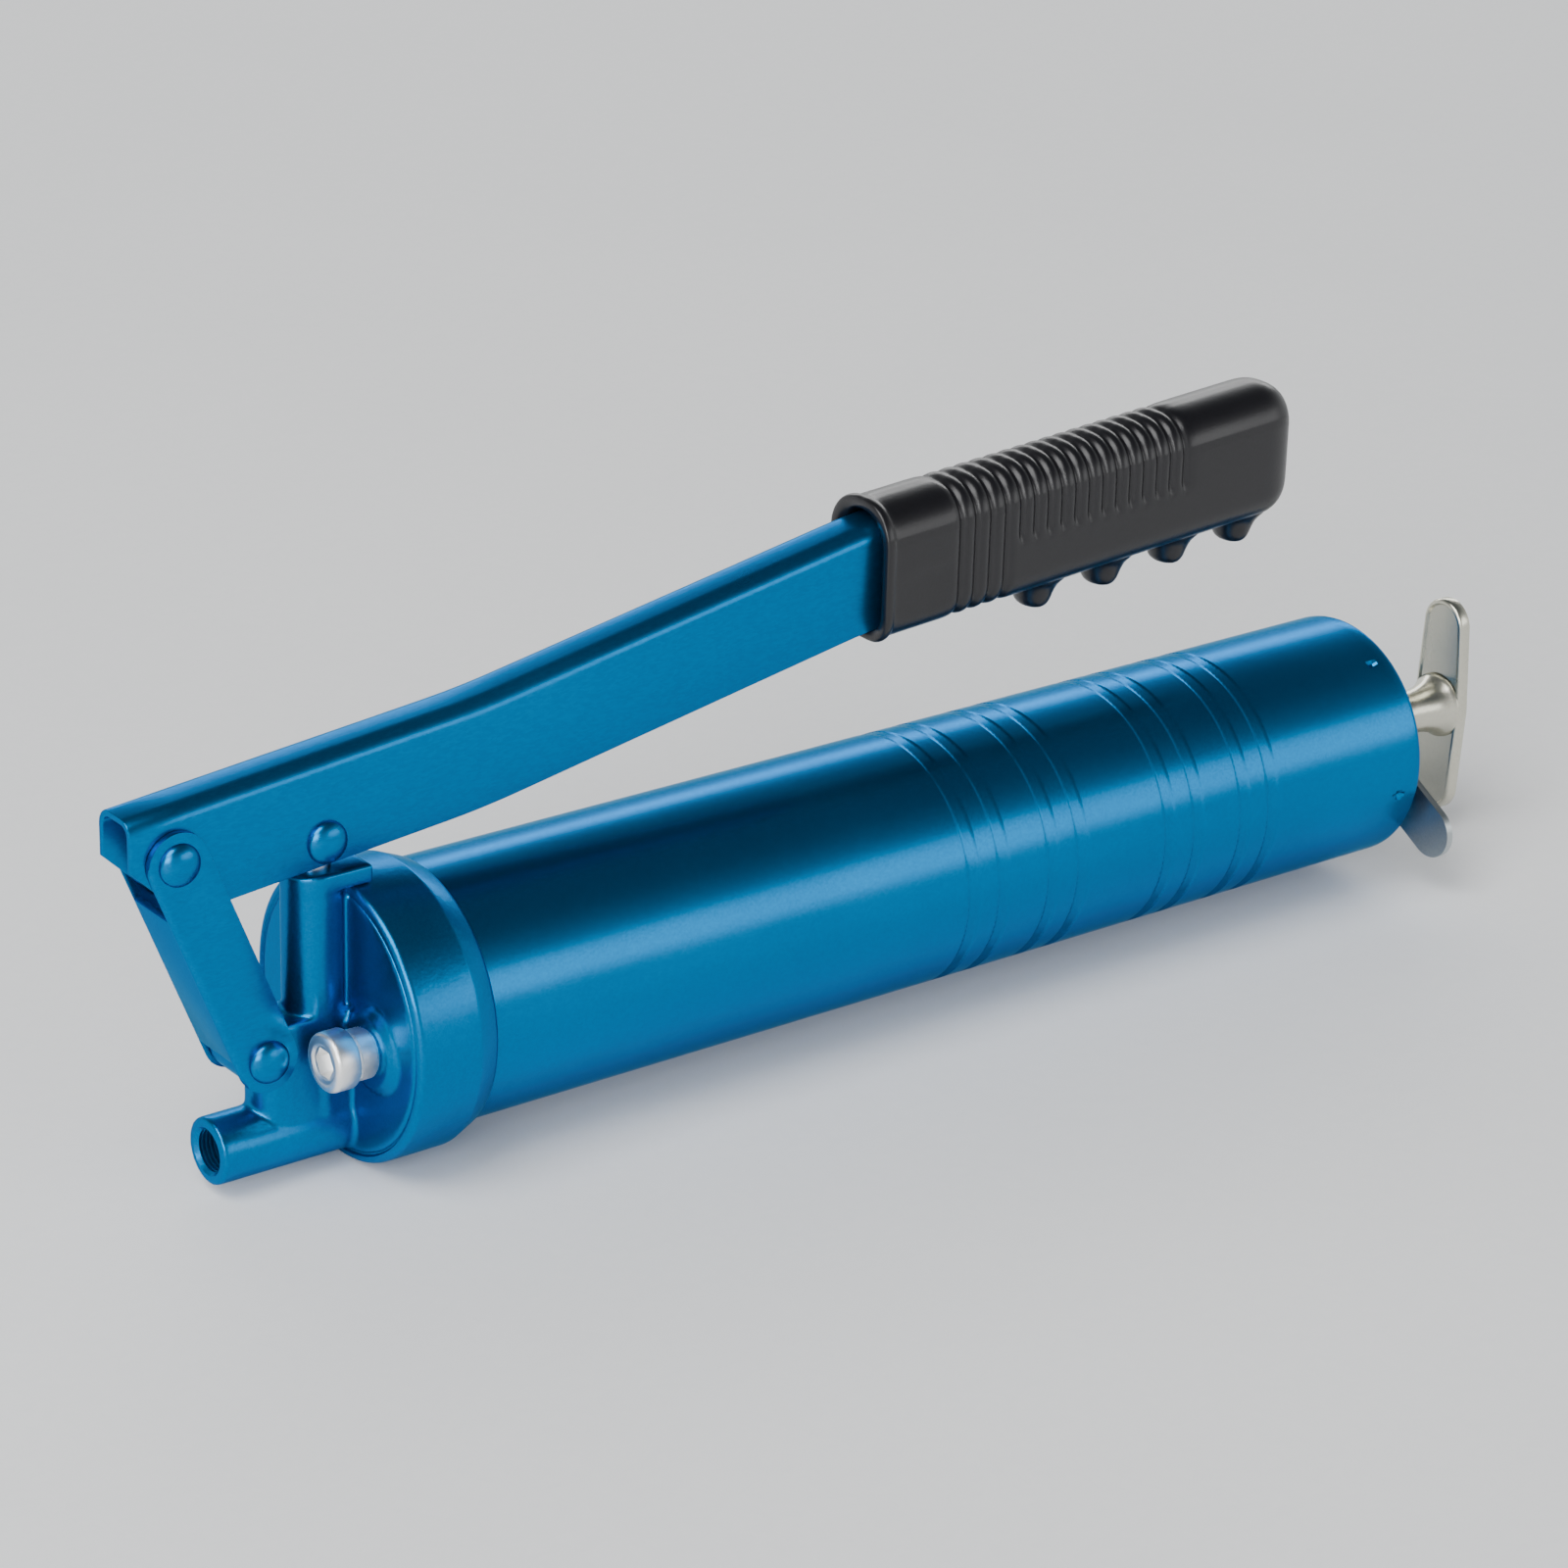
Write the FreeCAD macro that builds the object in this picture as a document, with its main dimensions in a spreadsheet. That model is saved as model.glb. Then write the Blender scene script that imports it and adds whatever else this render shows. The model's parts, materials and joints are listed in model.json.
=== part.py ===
"""Lever grease gun: cast pump head on a steel barrel, with a linked lever and a follower rod.

Frame: the origin is the centre of the outlet mouth, +X leaves the outlet, +Z is up, and the
lever lies above the barrel. Names ending in _back are distances behind the outlet mouth, and
names ending in _height are heights above the outlet's axis. Lengths are millimetres.
"""
import FreeCAD, Part
import os
import re
import Sketcher
from FreeCAD import Placement, Rotation, Vector

os.makedirs("parts", exist_ok=True)
doc = FreeCAD.newDocument("lever_grease_gun")

# ---------------------------------------------------------------- driving dimensions
SIZES = {
    # barrel and the skirt of the head that screws on it
    "axis_height": (22.4, "barrel axis above the outlet axis"),
    "face_back": (31.7, "front face of the head"),
    "barrel_back": (312.7, "rear end of the barrel"),
    "barrel_radius": (28.5, "outside radius of the barrel"),
    "barrel_wall": (1.2, "wall of the barrel tube"),
    "thread_gap": (0.1, "clearance of screwed and pushed-in joints"),
    "face_wall": (6.0, "thickness of the head behind its front face"),
    "skirt_wall": (3.15, "wall of the head's skirt outside the barrel"),
    "skirt_length": (20.5, "head's skirt, from the front face to its rear rim"),
    "skirt_taper": (5.5, "length of the tapered end of the skirt"),
    "skirt_rim": (0.9, "wall left at the rear rim of the skirt"),
    "face_round": (1.6, "rounding of the head's front edge"),
    "seal_thickness": (1.5, "flat ring between barrel and head"),
    "seal_width": (3.2, "radial width of the barrel seal"),
    # knurled bands of the barrel
    "band_rear": (134.6, "first knurled band, ahead of the barrel's rear end"),
    "band_first_back": ("=barrel_back - band_rear", "first knurled band"),
    "band_width": (3.2, "width of one band"),
    "band_depth": (0.25, "depth of the band below the barrel"),
    "band_spacing": (8.5, "between the two bands of a pair"),
    "pair_spacing": (22.5, "between the two pairs of a group"),
    "group_spacing": (56.6, "between the two groups"),
    # pump cylinder and the casting in front of the face
    "pump_back": (25.9, "plunger axis"),
    "boss_radius": (6.5, "outside of the pump cylinder"),
    "boss_top_height": (57.9, "top of the pump cylinder"),
    "bridge_depth": (4.0, "thick collar that ties the cylinder to the skirt"),
    "bridge_reach": (11.0, "collar, from the plunger axis back over the skirt"),
    "web_half": (4.2, "half width of the web between cylinder and face"),
    "plunger_radius": (4.0, "plunger"),
    "chamber_height": (14.0, "bottom of the pump chamber"),
    "plunger_low_height": (16.4, "plunger's lower end when the lever is closed"),
    "passage_radius": (1.7, "grease passages"),
    "inlet_height": (33.0, "grease inlet from the barrel"),
    "inlet_radius": (2.6, "grease inlet"),
    "packing_radius": (5.4, "outside of the plunger packing"),
    "packing_depth": (2.0, "plunger packing"),
    "packing_cover": (4.0, "metal above the packing"),
    # lug and outlet spout
    "ledge_height": (26.5, "top of the lug"),
    "nose_back": (16.5, "centre of the lug's rounded front"),
    "eye_radius": (6.0, "eye round the lower pivot"),
    "spout_radius": (7.25, "outlet spout"),
    "port_radius": (4.5, "tapped outlet, bore of the thread"),
    "port_depth": (11.0, "tapped outlet"),
    "check_radius": (3.6, "bore of the outlet check valve"),
    "check_lift": (1.2, "travel of the outlet check ball"),
    "check_room": (8.8, "ball, spring and ring of the outlet check valve"),
    "check_depth": ("=check_room + check_lift", "check valve, behind the tapped outlet"),
    "check_ball_radius": (2.75, "outlet check ball"),
    "check_ring": (1.2, "retaining ring of the outlet spring"),
    "check_coil": (2.4, "outlet spring, to the wire's middle"),
    "check_wire": (0.3, "wire of the outlet spring"),
    "check_turns": (5.0, "turns of the outlet spring"),
    # filler valve
    "valve_side": (14.0, "filler valve beside the centre plane"),
    "valve_height": (20.4, "filler valve"),
    "valve_front_back": (19.4, "front of the filler valve"),
    "valve_radius": (6.45, "head of the filler valve"),
    "valve_head": (5.8, "length of the valve's head"),
    "valve_neck_radius": (5.4, "knurled neck of the valve"),
    "valve_shank_radius": (4.0, "threaded shank of the valve"),
    "valve_edge": (0.8, "bevelled front edge of the valve"),
    "valve_pad": (1.5, "raised seat on the face"),
    "valve_pad_radius": (8.9, "raised seat on the face"),
    "hex_flats": (6.0, "hexagon socket across flats"),
    "hex_depth": (3.6, "hexagon socket"),
    "filler_ball_radius": (2.0, "ball of the filler valve"),
    "filler_bore_radius": (2.4, "bore behind the filler ball"),
    "filler_seat_radius": (1.3, "hole that the filler ball closes"),
    "filler_lift": (1.0, "travel of the filler ball"),
    "filler_reach": (3.0, "from the hexagon socket to the end of the ball's travel"),
    "filler_seat_depth": ("=filler_reach - filler_lift", "metal between the hexagon socket and the ball"),
    "filler_clip": (1.0, "retaining ring of the filler spring"),
    "filler_coil": (1.7, "filler spring, to the wire's middle"),
    "filler_wire": (0.25, "wire of the filler spring"),
    "filler_turns": (6.0, "turns of the filler spring"),
    # pivots
    "low_pivot_back": (10.5, "lower pivot of the link"),
    "low_pivot_height": (20.8, "lower pivot of the link"),
    "front_pivot_ahead": (9.3, "link to lever pivot, ahead of the outlet mouth"),
    "front_pivot_height": (69.4, "link to lever pivot"),
    "plunger_pivot_height": (65.2, "lever to plunger pivot"),
    "rivet_radius": (2.5, "shank of the three rivets"),
    "rivet_head_radius": (4.6, "dome head of a rivet"),
    "rivet_head_rise": (2.5, "dome head of a rivet"),
    "dome_crown_radius": (1.6, "small flat of the dome"),
    "dome_crown_drop": (0.3, "small flat's edge below the top of the dome"),
    "dome_shoulder_radius": (3.2, "shoulder of the dome"),
    "dome_shoulder_rise": (1.7, "shoulder of the dome above the cheek"),
    "run_gap": (0.05, "radial clearance of moving shafts"),
    "press_gap": (0.02, "radial clearance of fixed shafts"),
    "side_gap": (0.25, "gap beside a moving cheek"),
    # link
    "link_half": (6.8, "half width of the link's cheeks"),
    "link_sheet": (1.5, "sheet of the link"),
    "web_low": (4.0, "link's web starts this far above the lower pivot's level"),
    "web_top": (10.6, "link's web ends this far below the front pivot, along the link"),
    # lever
    "lever_sheet": (1.5, "sheet of the lever"),
    "plunger_room": (0.7, "plunger beside the lever's cheeks"),
    "lever_half": ("=plunger_radius + plunger_room + lever_sheet", "half width of the lever and the lug"),
    "lever_depth": (23.8, "height of the lever's channel"),
    "lever_nose_ahead": (19.3, "front end of the lever, ahead of the mouth"),
    "lever_nose_top": (79.7, "top of the lever's front end"),
    "lever_knee_back": (63.7, "first bend of the lever"),
    "lever_bend_back": (166.7, "second bend of the lever, under the grip"),
    "lever_tail_back": (279.0, "rear end of the lever"),
    "front_slope": (0.0935, "rise of the lever's front stretch"),
    "middle_slope": (0.179, "rise of the lever's middle stretch"),
    "grip_slope": (0.066, "rise of the lever's rear stretch and the grip"),
    "lever_crown": (4.0, "rounding of the lever's upper edges"),
    "bend_round": (55.0, "radius of the lever's bends"),
    "nose_cut": (12.4, "slanted lower corner of the lever's front end, along the lever"),
    "nose_cut_rise": (13.1, "slanted lower corner of the lever's front end, up the lever"),
    "slot_play": (1.35, "play of the plunger's eye along the barrel"),
    "eye_play": (0.35, "play of the plunger's eye along the plunger"),
    "eye_half": (7.6, "half length of the plunger's eye"),
    "eye_rise": (5.4, "half height of the plunger's eye"),
    # grip
    "grip_front_back": (164.7, "front mouth of the grip"),
    "grip_rear_back": (285.0, "rear end of the grip"),
    "grip_low_height": (79.0, "underside of the grip at its front"),
    "grip_depth": (30.5, "height of the grip"),
    "grip_half": (10.0, "half width of the grip"),
    "grip_crown": (8.8, "rounding of the grip's top"),
    "grip_belly": (5.5, "rounding of the grip's underside"),
    "grip_end_round": (5.0, "rounding of the grip's rear end"),
    "nub_radius": (4.4, "finger nubs under the grip"),
    "nub_half": (5.5, "half width of a finger nub"),
    "nub_drop": (6.9, "finger nub below the grip"),
    "nub_first_back": (214.5, "first finger nub"),
    "nub_spacing": (19.6, "between finger nubs"),
    "nub_root": (1.4, "how far a nub's root goes up into the sleeve"),
    # rear cap, rod and follower
    "lip_width": (2.4, "rolled rear lip of the barrel"),
    "lip_depth": (0.9, "rolled rear lip of the barrel"),
    "end_round": (1.4, "rounding of the barrel's rear edge"),
    "cap_wall": (1.8, "rear cap"),
    "cap_skirt": (9.0, "rear cap's skirt"),
    "rod_radius": (4.0, "follower rod"),
    "bush_radius": (7.0, "guide bush of the rod"),
    "bush_flange": (9.5, "flange of the guide bush"),
    "bush_length": (9.0, "guide bush"),
    "tab_gap": (3.2, "lock plate behind the barrel's end"),
    "tab_thickness": (1.7, "lock plate"),
    "tab_half": (6.35, "half width of the lock plate's tongue"),
    "tab_reach": (39.5, "tip of the tongue from the rod's axis"),
    "tab_ring": (10.0, "round part of the lock plate"),
    "tab_angle": (-29.0, "direction of the tongue, from +Y towards +Z"),
    "tab_hole_gap": (0.25, "clearance of the rod in the lock plate"),
    "fulcrum_reach": (9.5, "lock plate's pivot bead from the rod's axis"),
    "fulcrum_radius": (1.1, "lock plate's pivot bead"),
    "fulcrum_half": (4.0, "half length of the pivot bead"),
    "hook_gap": (1.0, "clearance of the hook round the lock plate's edge"),
    "hook_sheet": (1.8, "hook on the rear cap that holds the lock plate's edge"),
    "hook_half": (4.5, "half width of the hook"),
    "hook_grip": (1.6, "overlap of the hook behind the lock plate"),
    "lock_coil": (5.6, "lock spring, to the wire's middle"),
    "lock_wire": (0.5, "wire of the lock spring"),
    "lock_turns": (2.0, "turns of the lock spring"),
    "handle_back": (344.2, "front face of the pull handle"),
    "handle_depth": (3.2, "stamped depth of the pull handle"),
    "handle_sheet": (1.3, "sheet of the pull handle"),
    "handle_edge": (1.0, "rounding of the handle's front edge"),
    "handle_half": (27.0, "half height of the pull handle"),
    "handle_end": (6.4, "end radius of the pull handle"),
    "handle_bulge": (7.7, "half width of the pull handle at its middle"),
    "ferrule_wall": (1.2, "ferrule outside the rod"),
    "ferrule_foot": (3.4, "ferrule outside the rod where it meets the handle"),
    "ferrule_radius": ("=rod_radius + ferrule_wall", "ferrule of the pull handle"),
    "ferrule_flare": ("=rod_radius + ferrule_foot", "ferrule where it meets the handle"),
    "ferrule_length": (22.0, "ferrule"),
    "ferrule_cone": (7.0, "flared stretch of the ferrule"),
    "ferrule_swell": (2.5, "steep part of the flare"),
    "ferrule_edge": (0.6, "bevel at the ferrule's front end"),
    "rod_front_back": (39.0, "front end of the rod"),
    "rod_edge": (0.8, "bevel at the front end of the rod"),
    "rod_head_gap": (0.3, "riveted end of the rod behind the handle's sheet"),
    "rod_head": (1.6, "riveted end of the rod, wider than the rod"),
    "rod_head_low": (1.3, "bevelled part of the riveted end"),
    "rod_head_rise": (0.4, "flat part of the riveted end"),
    "nut_thickness": (5.0, "follower nut"),
    "nut_flats": (13.0, "follower nut across flats"),
    "plate_radius": (21.0, "follower plates"),
    "plate_thickness": (1.5, "follower plates"),
    "cup_base": (2.5, "base of the follower cup"),
    "cup_lip": (8.0, "lip of the follower cup"),
    "cup_wall": (2.2, "wall of the follower cup"),
    "spring_radius": (20.0, "follower spring, to the wire's middle"),
    "wire_radius": (1.1, "wire of the follower spring"),
    "spring_turns": (15.0, "turns of the follower spring"),
    "back_plate_extra": (3.0, "rear follower plate, wider than the front one"),
    "cut_over": (1.0, "how far a cut runs past the metal"),
    "open_cut": (30.0, "how far an open cut runs past the metal"),
    "hollow_over": (5.0, "how far a channel's hollow runs past its ends"),
}
sheet = doc.addObject("Spreadsheet::Sheet", "sizes")
for row, (alias, (amount, note)) in enumerate(SIZES.items(), start=1):
    sheet.set(f"A{row}", note)
    sheet.set(f"B{row}", str(amount))
    sheet.setAlias(f"B{row}", alias)
doc.recompute()


def bound(text):
    """An expression in which every size is read from the sheet."""
    return re.sub(r"[a-z_]+", lambda word: "sizes." + word[0] if word[0] in SIZES else word[0], text)


def amount_of(text):
    return float(sheet.evalExpression(bound(text)))


def bind(thing, **expressions):
    for name, text in expressions.items():
        thing.setExpression(name.replace("__", "."), bound(text))
    return thing


# ---------------------------------------------------------------- sketched bodies
def body_at(node, x="0", y="0", z="0"):
    body = doc.addObject("PartDesign::Body", node)
    body.Label = node
    return bind(body, Placement__Base__x=x, Placement__Base__y=y, Placement__Base__z=z)


def flat_sketch(body, role, name):
    sketch = body.newObject("Sketcher::SketchObject", name)
    plane = [item for item in body.Origin.OriginFeatures if item.Role == role][0]
    sketch.AttachmentSupport = (plane, [""])
    sketch.MapMode = "FlatFace"
    return sketch


def pin_point(sketch, geometry, point, place):
    """Hold one sketch point at a place given by two expressions."""
    for kind, text in zip(("DistanceX", "DistanceY"), place):
        rule = Sketcher.Constraint(kind, -1, 1, geometry, point, amount_of(text))
        number = sketch.addConstraint(rule)
        sketch.setExpression(f"Constraints[{number}]", bound(text))


def polygon(body, role, name, corners):
    """A closed outline through corners, each a pair of expressions."""
    sketch = flat_sketch(body, role, name)
    spots = [Vector(amount_of(u), amount_of(v), 0) for u, v in corners]
    count = len(spots)
    for index in range(count):
        sketch.addGeometry(Part.LineSegment(spots[index], spots[(index + 1) % count]), False)
    for index in range(count):
        sketch.addConstraint(Sketcher.Constraint("Coincident", index, 2, (index + 1) % count, 1))
    for index, corner in enumerate(corners):
        pin_point(sketch, index, 1, corner)
    return sketch


def circle(body, role, name, centre, radius):
    sketch = flat_sketch(body, role, name)
    middle = Vector(amount_of(centre[0]), amount_of(centre[1]), 0)
    sketch.addGeometry(Part.Circle(middle, Vector(0, 0, 1), amount_of(radius)), False)
    pin_point(sketch, 0, 3, centre)
    number = sketch.addConstraint(Sketcher.Constraint("Radius", 0, amount_of(radius)))
    sketch.setExpression(f"Constraints[{number}]", bound(radius))
    return sketch


def across(body, kind, name, sketch, width):
    """Pad or pocket a sketch to both sides of its plane, to the whole width given."""
    feature = body.newObject(f"PartDesign::{kind}", name)
    feature.Profile = sketch
    feature.SideType = "Symmetric"
    bind(feature, Length=width)
    sketch.Visibility = False
    return feature


def turned(node, corners, z="axis_height", y="0"):
    """A lathe part: corners are (place along X, radius) about an axis along X."""
    body = body_at(node, y=y, z=z)
    sketch = polygon(body, "XZ_Plane", node + "_profile", corners)
    feature = body.newObject("PartDesign::Revolution", node + "_turned")
    feature.Profile = sketch
    feature.ReferenceAxis = (sketch, ["H_Axis"])
    feature.Angle = 360
    return body


def rounded(body, base, name, radius, chosen):
    """Fillet the edges of base that chosen(edge) accepts."""
    doc.recompute()
    edges = [f"Edge{i}" for i, edge in enumerate(base.Shape.Edges, start=1) if chosen(edge)]
    feature = body.newObject("PartDesign::Fillet", name)
    feature.Base = (base, edges)
    bind(feature, Radius=radius)
    doc.recompute()
    return feature


TOUCH = 0.01
NEAR = 0.5
MOST = 0.8


def runs_along_y(edge):
    ends = [vertex.Point for vertex in edge.Vertexes]
    return len(ends) == 2 and abs(ends[0].y - ends[1].y) > MOST * edge.Length


# ---------------------------------------------------------------- primitives and booleans
TURN = {"x": Rotation(Vector(0, 1, 0), 90), "y": Rotation(Vector(1, 0, 0), -90), "z": Rotation()}


def rod_shape(name, axis, start, length, radius):
    """A cylinder from start (three expressions) for a length along an axis."""
    shape = doc.addObject("Part::Cylinder", name)
    shape.Placement = Placement(Vector(), TURN[axis])
    bind(shape, Radius=radius, Height=length)
    x, y, z = start
    return bind(shape, Placement__Base__x=x, Placement__Base__y=y, Placement__Base__z=z)


def block(name, start, size):
    shape = doc.addObject("Part::Box", name)
    bind(shape, Length=size[0], Width=size[1], Height=size[2])
    x, y, z = start
    return bind(shape, Placement__Base__x=x, Placement__Base__y=y, Placement__Base__z=z)


def joined(name, pieces):
    shape = doc.addObject("Part::MultiFuse", name)
    shape.Shapes = pieces
    shape.Refine = True
    return shape


def less(name, base, tools):
    """base with every tool cut away."""
    tool = tools[0] if len(tools) == 1 else joined(name + "_tools", tools)
    shape = doc.addObject("Part::Cut", name)
    shape.Base = base
    shape.Tool = tool
    shape.Label = name
    return shape


NODES = []


def node(thing):
    NODES.append(thing)
    return thing


# ---------------------------------------------------------------- barrel
def barrel_tube():
    inner = "barrel_radius - barrel_wall"
    front = "0 - face_back - face_wall - seal_thickness"
    corners = [(front, inner), (front, "barrel_radius")]
    for group in (0, 1):
        for pair in (0, 1):
            for band in (0, 1):
                start = (f"0 - band_first_back - {group} * group_spacing"
                         f" - {pair} * pair_spacing - {band} * band_spacing + band_width / 2")
                end = start + " - band_width"
                low = "barrel_radius - band_depth"
                corners += [(start, "barrel_radius"), (start, low), (end, low), (end, "barrel_radius")]
    corners += [
        ("0 - barrel_back + end_round", "barrel_radius"),
        ("0 - barrel_back", "barrel_radius - end_round"),
        ("0 - barrel_back", "barrel_radius - lip_width"),
        ("0 - barrel_back + lip_depth", "barrel_radius - lip_width"),
        ("0 - barrel_back + lip_depth", inner),
    ]
    return turned("barrel_tube", corners)


node(barrel_tube())
node(turned("barrel_seal", [
    ("0 - face_back - face_wall", "barrel_radius - seal_width"),
    ("0 - face_back - face_wall", "barrel_radius"),
    ("0 - face_back - face_wall - seal_thickness", "barrel_radius"),
    ("0 - face_back - face_wall - seal_thickness", "barrel_radius - seal_width"),
]))

# ---------------------------------------------------------------- pump head casting
BORE = "barrel_radius + thread_gap"
SKIRT = "barrel_radius + skirt_wall + thread_gap"


def pump_head():
    """One casting: cup that holds the barrel, pump cylinder, lug, spout and filler seat."""
    face = "0 - face_back"
    inside = "0 - face_back - face_wall"
    rim = "0 - face_back - skirt_length"
    cup = turned("head_cup", [
        (face, "0"),
        (face, f"{SKIRT} - face_round"),
        ("0 - face_back - face_round", SKIRT),
        (f"{rim} + skirt_taper", SKIRT),
        (rim, f"{BORE} + skirt_rim"),
        (rim, BORE),
        (inside, BORE),
        (inside, "0"),
    ])
    pump_x = "0 - pump_back"
    solid = [
        cup,
        rod_shape("cylinder_boss", "z", (pump_x, "0", "0"), "boss_top_height", "boss_radius"),
        block("cylinder_web", (f"{face} - cut_over", "0 - web_half", "0"),
              ("face_back + cut_over - pump_back", "2 * web_half", "boss_top_height - bridge_depth / 2")),
        rod_shape("collar_round", "z", (pump_x, "0", "boss_top_height - bridge_depth"),
                  "bridge_depth", "boss_radius"),
        block("collar_bridge", ("0 - pump_back - bridge_reach", "0 - boss_radius",
                                "boss_top_height - bridge_depth"),
              ("bridge_reach", "2 * boss_radius", "bridge_depth")),
        block("lug_block", (f"{face} - cut_over", "0 - lever_half", "0"),
              ("face_back + cut_over - nose_back", "2 * lever_half", "ledge_height")),
        rod_shape("lug_nose", "z", ("0 - nose_back", "0", "0"), "ledge_height", "lever_half"),
        rod_shape("pivot_eye", "y", ("0 - low_pivot_back", "0 - lever_half", "low_pivot_height"),
                  "2 * lever_half", "eye_radius"),
        block("eye_neck", ("0 - nose_back", "0 - lever_half", "low_pivot_height - eye_radius"),
              ("nose_back - low_pivot_back", "2 * lever_half", "2 * eye_radius")),
        rod_shape("outlet_spout", "x", (inside, "0", "0"), "face_back + face_wall", "spout_radius"),
        rod_shape("valve_seat_pad", "x", (f"{face} - cut_over", "valve_side", "valve_height"),
                  "cut_over + valve_pad", "valve_pad_radius"),
    ]
    seat = "port_depth + check_depth"
    holes = [
        rod_shape("plunger_bore", "z", (pump_x, "0", "chamber_height"),
                  "boss_top_height - chamber_height + cut_over", "plunger_radius + run_gap"),
        rod_shape("packing_groove", "z",
                  (pump_x, "0", "boss_top_height - packing_cover - packing_depth"),
                  "packing_depth", "packing_radius"),
        rod_shape("down_passage", "z", (pump_x, "0", "0"), "chamber_height + cut_over", "passage_radius"),
        rod_shape("inlet_passage", "x", (f"{inside} - cut_over", "0", "inlet_height"),
                  "face_back + face_wall + cut_over - pump_back", "inlet_radius"),
        rod_shape("outlet_thread", "x", ("0 - port_depth", "0", "0"), "port_depth + cut_over", "port_radius"),
        rod_shape("check_bore", "x", (f"0 - ({seat})", "0", "0"), "check_depth + cut_over",
                  "check_radius"),
        rod_shape("seat_passage", "x", (pump_x, "0", "0"), "pump_back - port_depth", "passage_radius"),
        rod_shape("rivet_hole", "y", ("0 - low_pivot_back", "0 - lever_half - cut_over", "low_pivot_height"),
                  "2 * (lever_half + cut_over)", "rivet_radius + run_gap"),
        rod_shape("valve_thread", "x", (f"{inside} - cut_over", "valve_side", "valve_height"),
                  "face_wall + valve_pad + 2 * cut_over", "valve_shank_radius + thread_gap"),
        rod_shape("barrel_space", "x", (rim, "0", "axis_height"), "skirt_length - face_wall", BORE),
    ]
    return less("pump_head", joined("head_metal", solid), holes)


node(pump_head())


def ring(name, axis, start, length, outer, inner):
    """A plain ring cut from two cylinders."""
    x, y, z = start
    return less(name, rod_shape(name + "_disc", axis, start, length, outer),
                [rod_shape(name + "_hole", axis, start, length, inner)])


node(ring("plunger_packing", "z",
          ("0 - pump_back", "0", "boss_top_height - packing_cover - packing_depth"),
          "packing_depth", "packing_radius - press_gap", "plunger_radius + run_gap"))


# ---------------------------------------------------------------- ball valves
def ball(name, radius, x, y="0", z="0"):
    shape = doc.addObject("Part::Sphere", name)
    shape.Label = name
    return bind(shape, Radius=radius, Placement__Base__x=x, Placement__Base__y=y, Placement__Base__z=z)


def coil(name, start, end, centre, sizes):
    """A helical spring about an axis along X, between two places given by expressions."""
    radius, wire, turns = [amount_of(size) for size in sizes]
    run = amount_of(f"({end}) - ({start})") - 2 * wire
    path = Part.makeHelix(run / turns, run, radius)
    section = Part.Wire(Part.makeCircle(wire, Vector(radius, 0, 0), Vector(0, 1, 0)))
    spring = doc.addObject("Part::Feature", name)
    spring.Shape = Part.Wire(path).makePipeShell([section], True, True)
    y, z = [amount_of(place) for place in centre]
    spring.Placement = Placement(Vector(amount_of(start) + wire, y, z), TURN["x"])
    return spring


SEAT_RISE = "sqrt(check_ball_radius ^ 2 - passage_radius ^ 2)"
BALL_X = f"{SEAT_RISE} - port_depth - check_depth"
RING_X = "0 - port_depth - check_ring"
node(ball("outlet_check_ball", "check_ball_radius * 1", BALL_X + " + run_gap"))
node(ring("outlet_spring_ring", "x", (RING_X, "0", "0"), "check_ring",
          "check_radius - press_gap", "passage_radius"))
node(coil("outlet_check_spring", f"{BALL_X} + check_ball_radius + 2 * run_gap", f"{RING_X} - run_gap",
          ("0", "0"), ("check_coil", "check_wire", "check_turns")))

VALVE_AXIS = ("valve_side", "valve_height")


def filler_valve_body():
    """Screwed valve body: round head with a hexagon socket, knurled neck, threaded shank."""
    front = "0 - valve_front_back"
    seat = "0 - face_back + valve_pad"
    end = "0 - face_back - face_wall"
    body = turned("filler_valve_lathe", [
        (front, "0"),
        (front, "valve_radius - valve_edge"),
        (f"{front} - valve_edge", "valve_radius"),
        (f"{front} - valve_head", "valve_radius"),
        (f"{front} - valve_head", "valve_neck_radius"),
        (seat, "valve_neck_radius"),
        (seat, "valve_shank_radius"),
        (end, "valve_shank_radius"),
        (end, "0"),
    ], z="valve_height", y="valve_side")
    socket = doc.addObject("Part::Prism", "hex_socket")
    socket.Polygon = 6
    socket.Placement = Placement(Vector(), TURN["x"])
    bind(socket, Circumradius="hex_flats / sqrt(3)", Height="hex_depth + cut_over")
    bind(socket, Placement__Base__x=f"{front} - hex_depth", Placement__Base__y="valve_side",
         Placement__Base__z="valve_height")
    bore_front = f"{front} - hex_depth - filler_seat_depth"
    drill = rod_shape("filler_drill", "x", (f"{bore_front} - cut_over", *VALVE_AXIS),
                      "filler_seat_depth + 2 * cut_over", "filler_seat_radius")
    bore = rod_shape("filler_bore", "x", (f"{end} - cut_over", *VALVE_AXIS),
                     f"({bore_front}) - ({end}) + cut_over", "filler_bore_radius")
    return less("filler_valve_body", body, [socket, drill, bore])


node(filler_valve_body())
FILLER_SEAT = "sqrt(filler_ball_radius ^ 2 - filler_seat_radius ^ 2)"
FILLER_X = f"0 - valve_front_back - hex_depth - filler_seat_depth - {FILLER_SEAT} - run_gap"
node(ball("filler_ball", "filler_ball_radius * 1", FILLER_X, *VALVE_AXIS))
node(ring("filler_spring_clip", "x", ("0 - face_back - face_wall", *VALVE_AXIS), "filler_clip",
          "filler_bore_radius - press_gap", "filler_seat_radius"))
node(coil("filler_spring", "0 - face_back - face_wall + filler_clip + run_gap",
          f"{FILLER_X} - filler_ball_radius - run_gap", VALVE_AXIS,
          ("filler_coil", "filler_wire", "filler_turns")))


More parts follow.
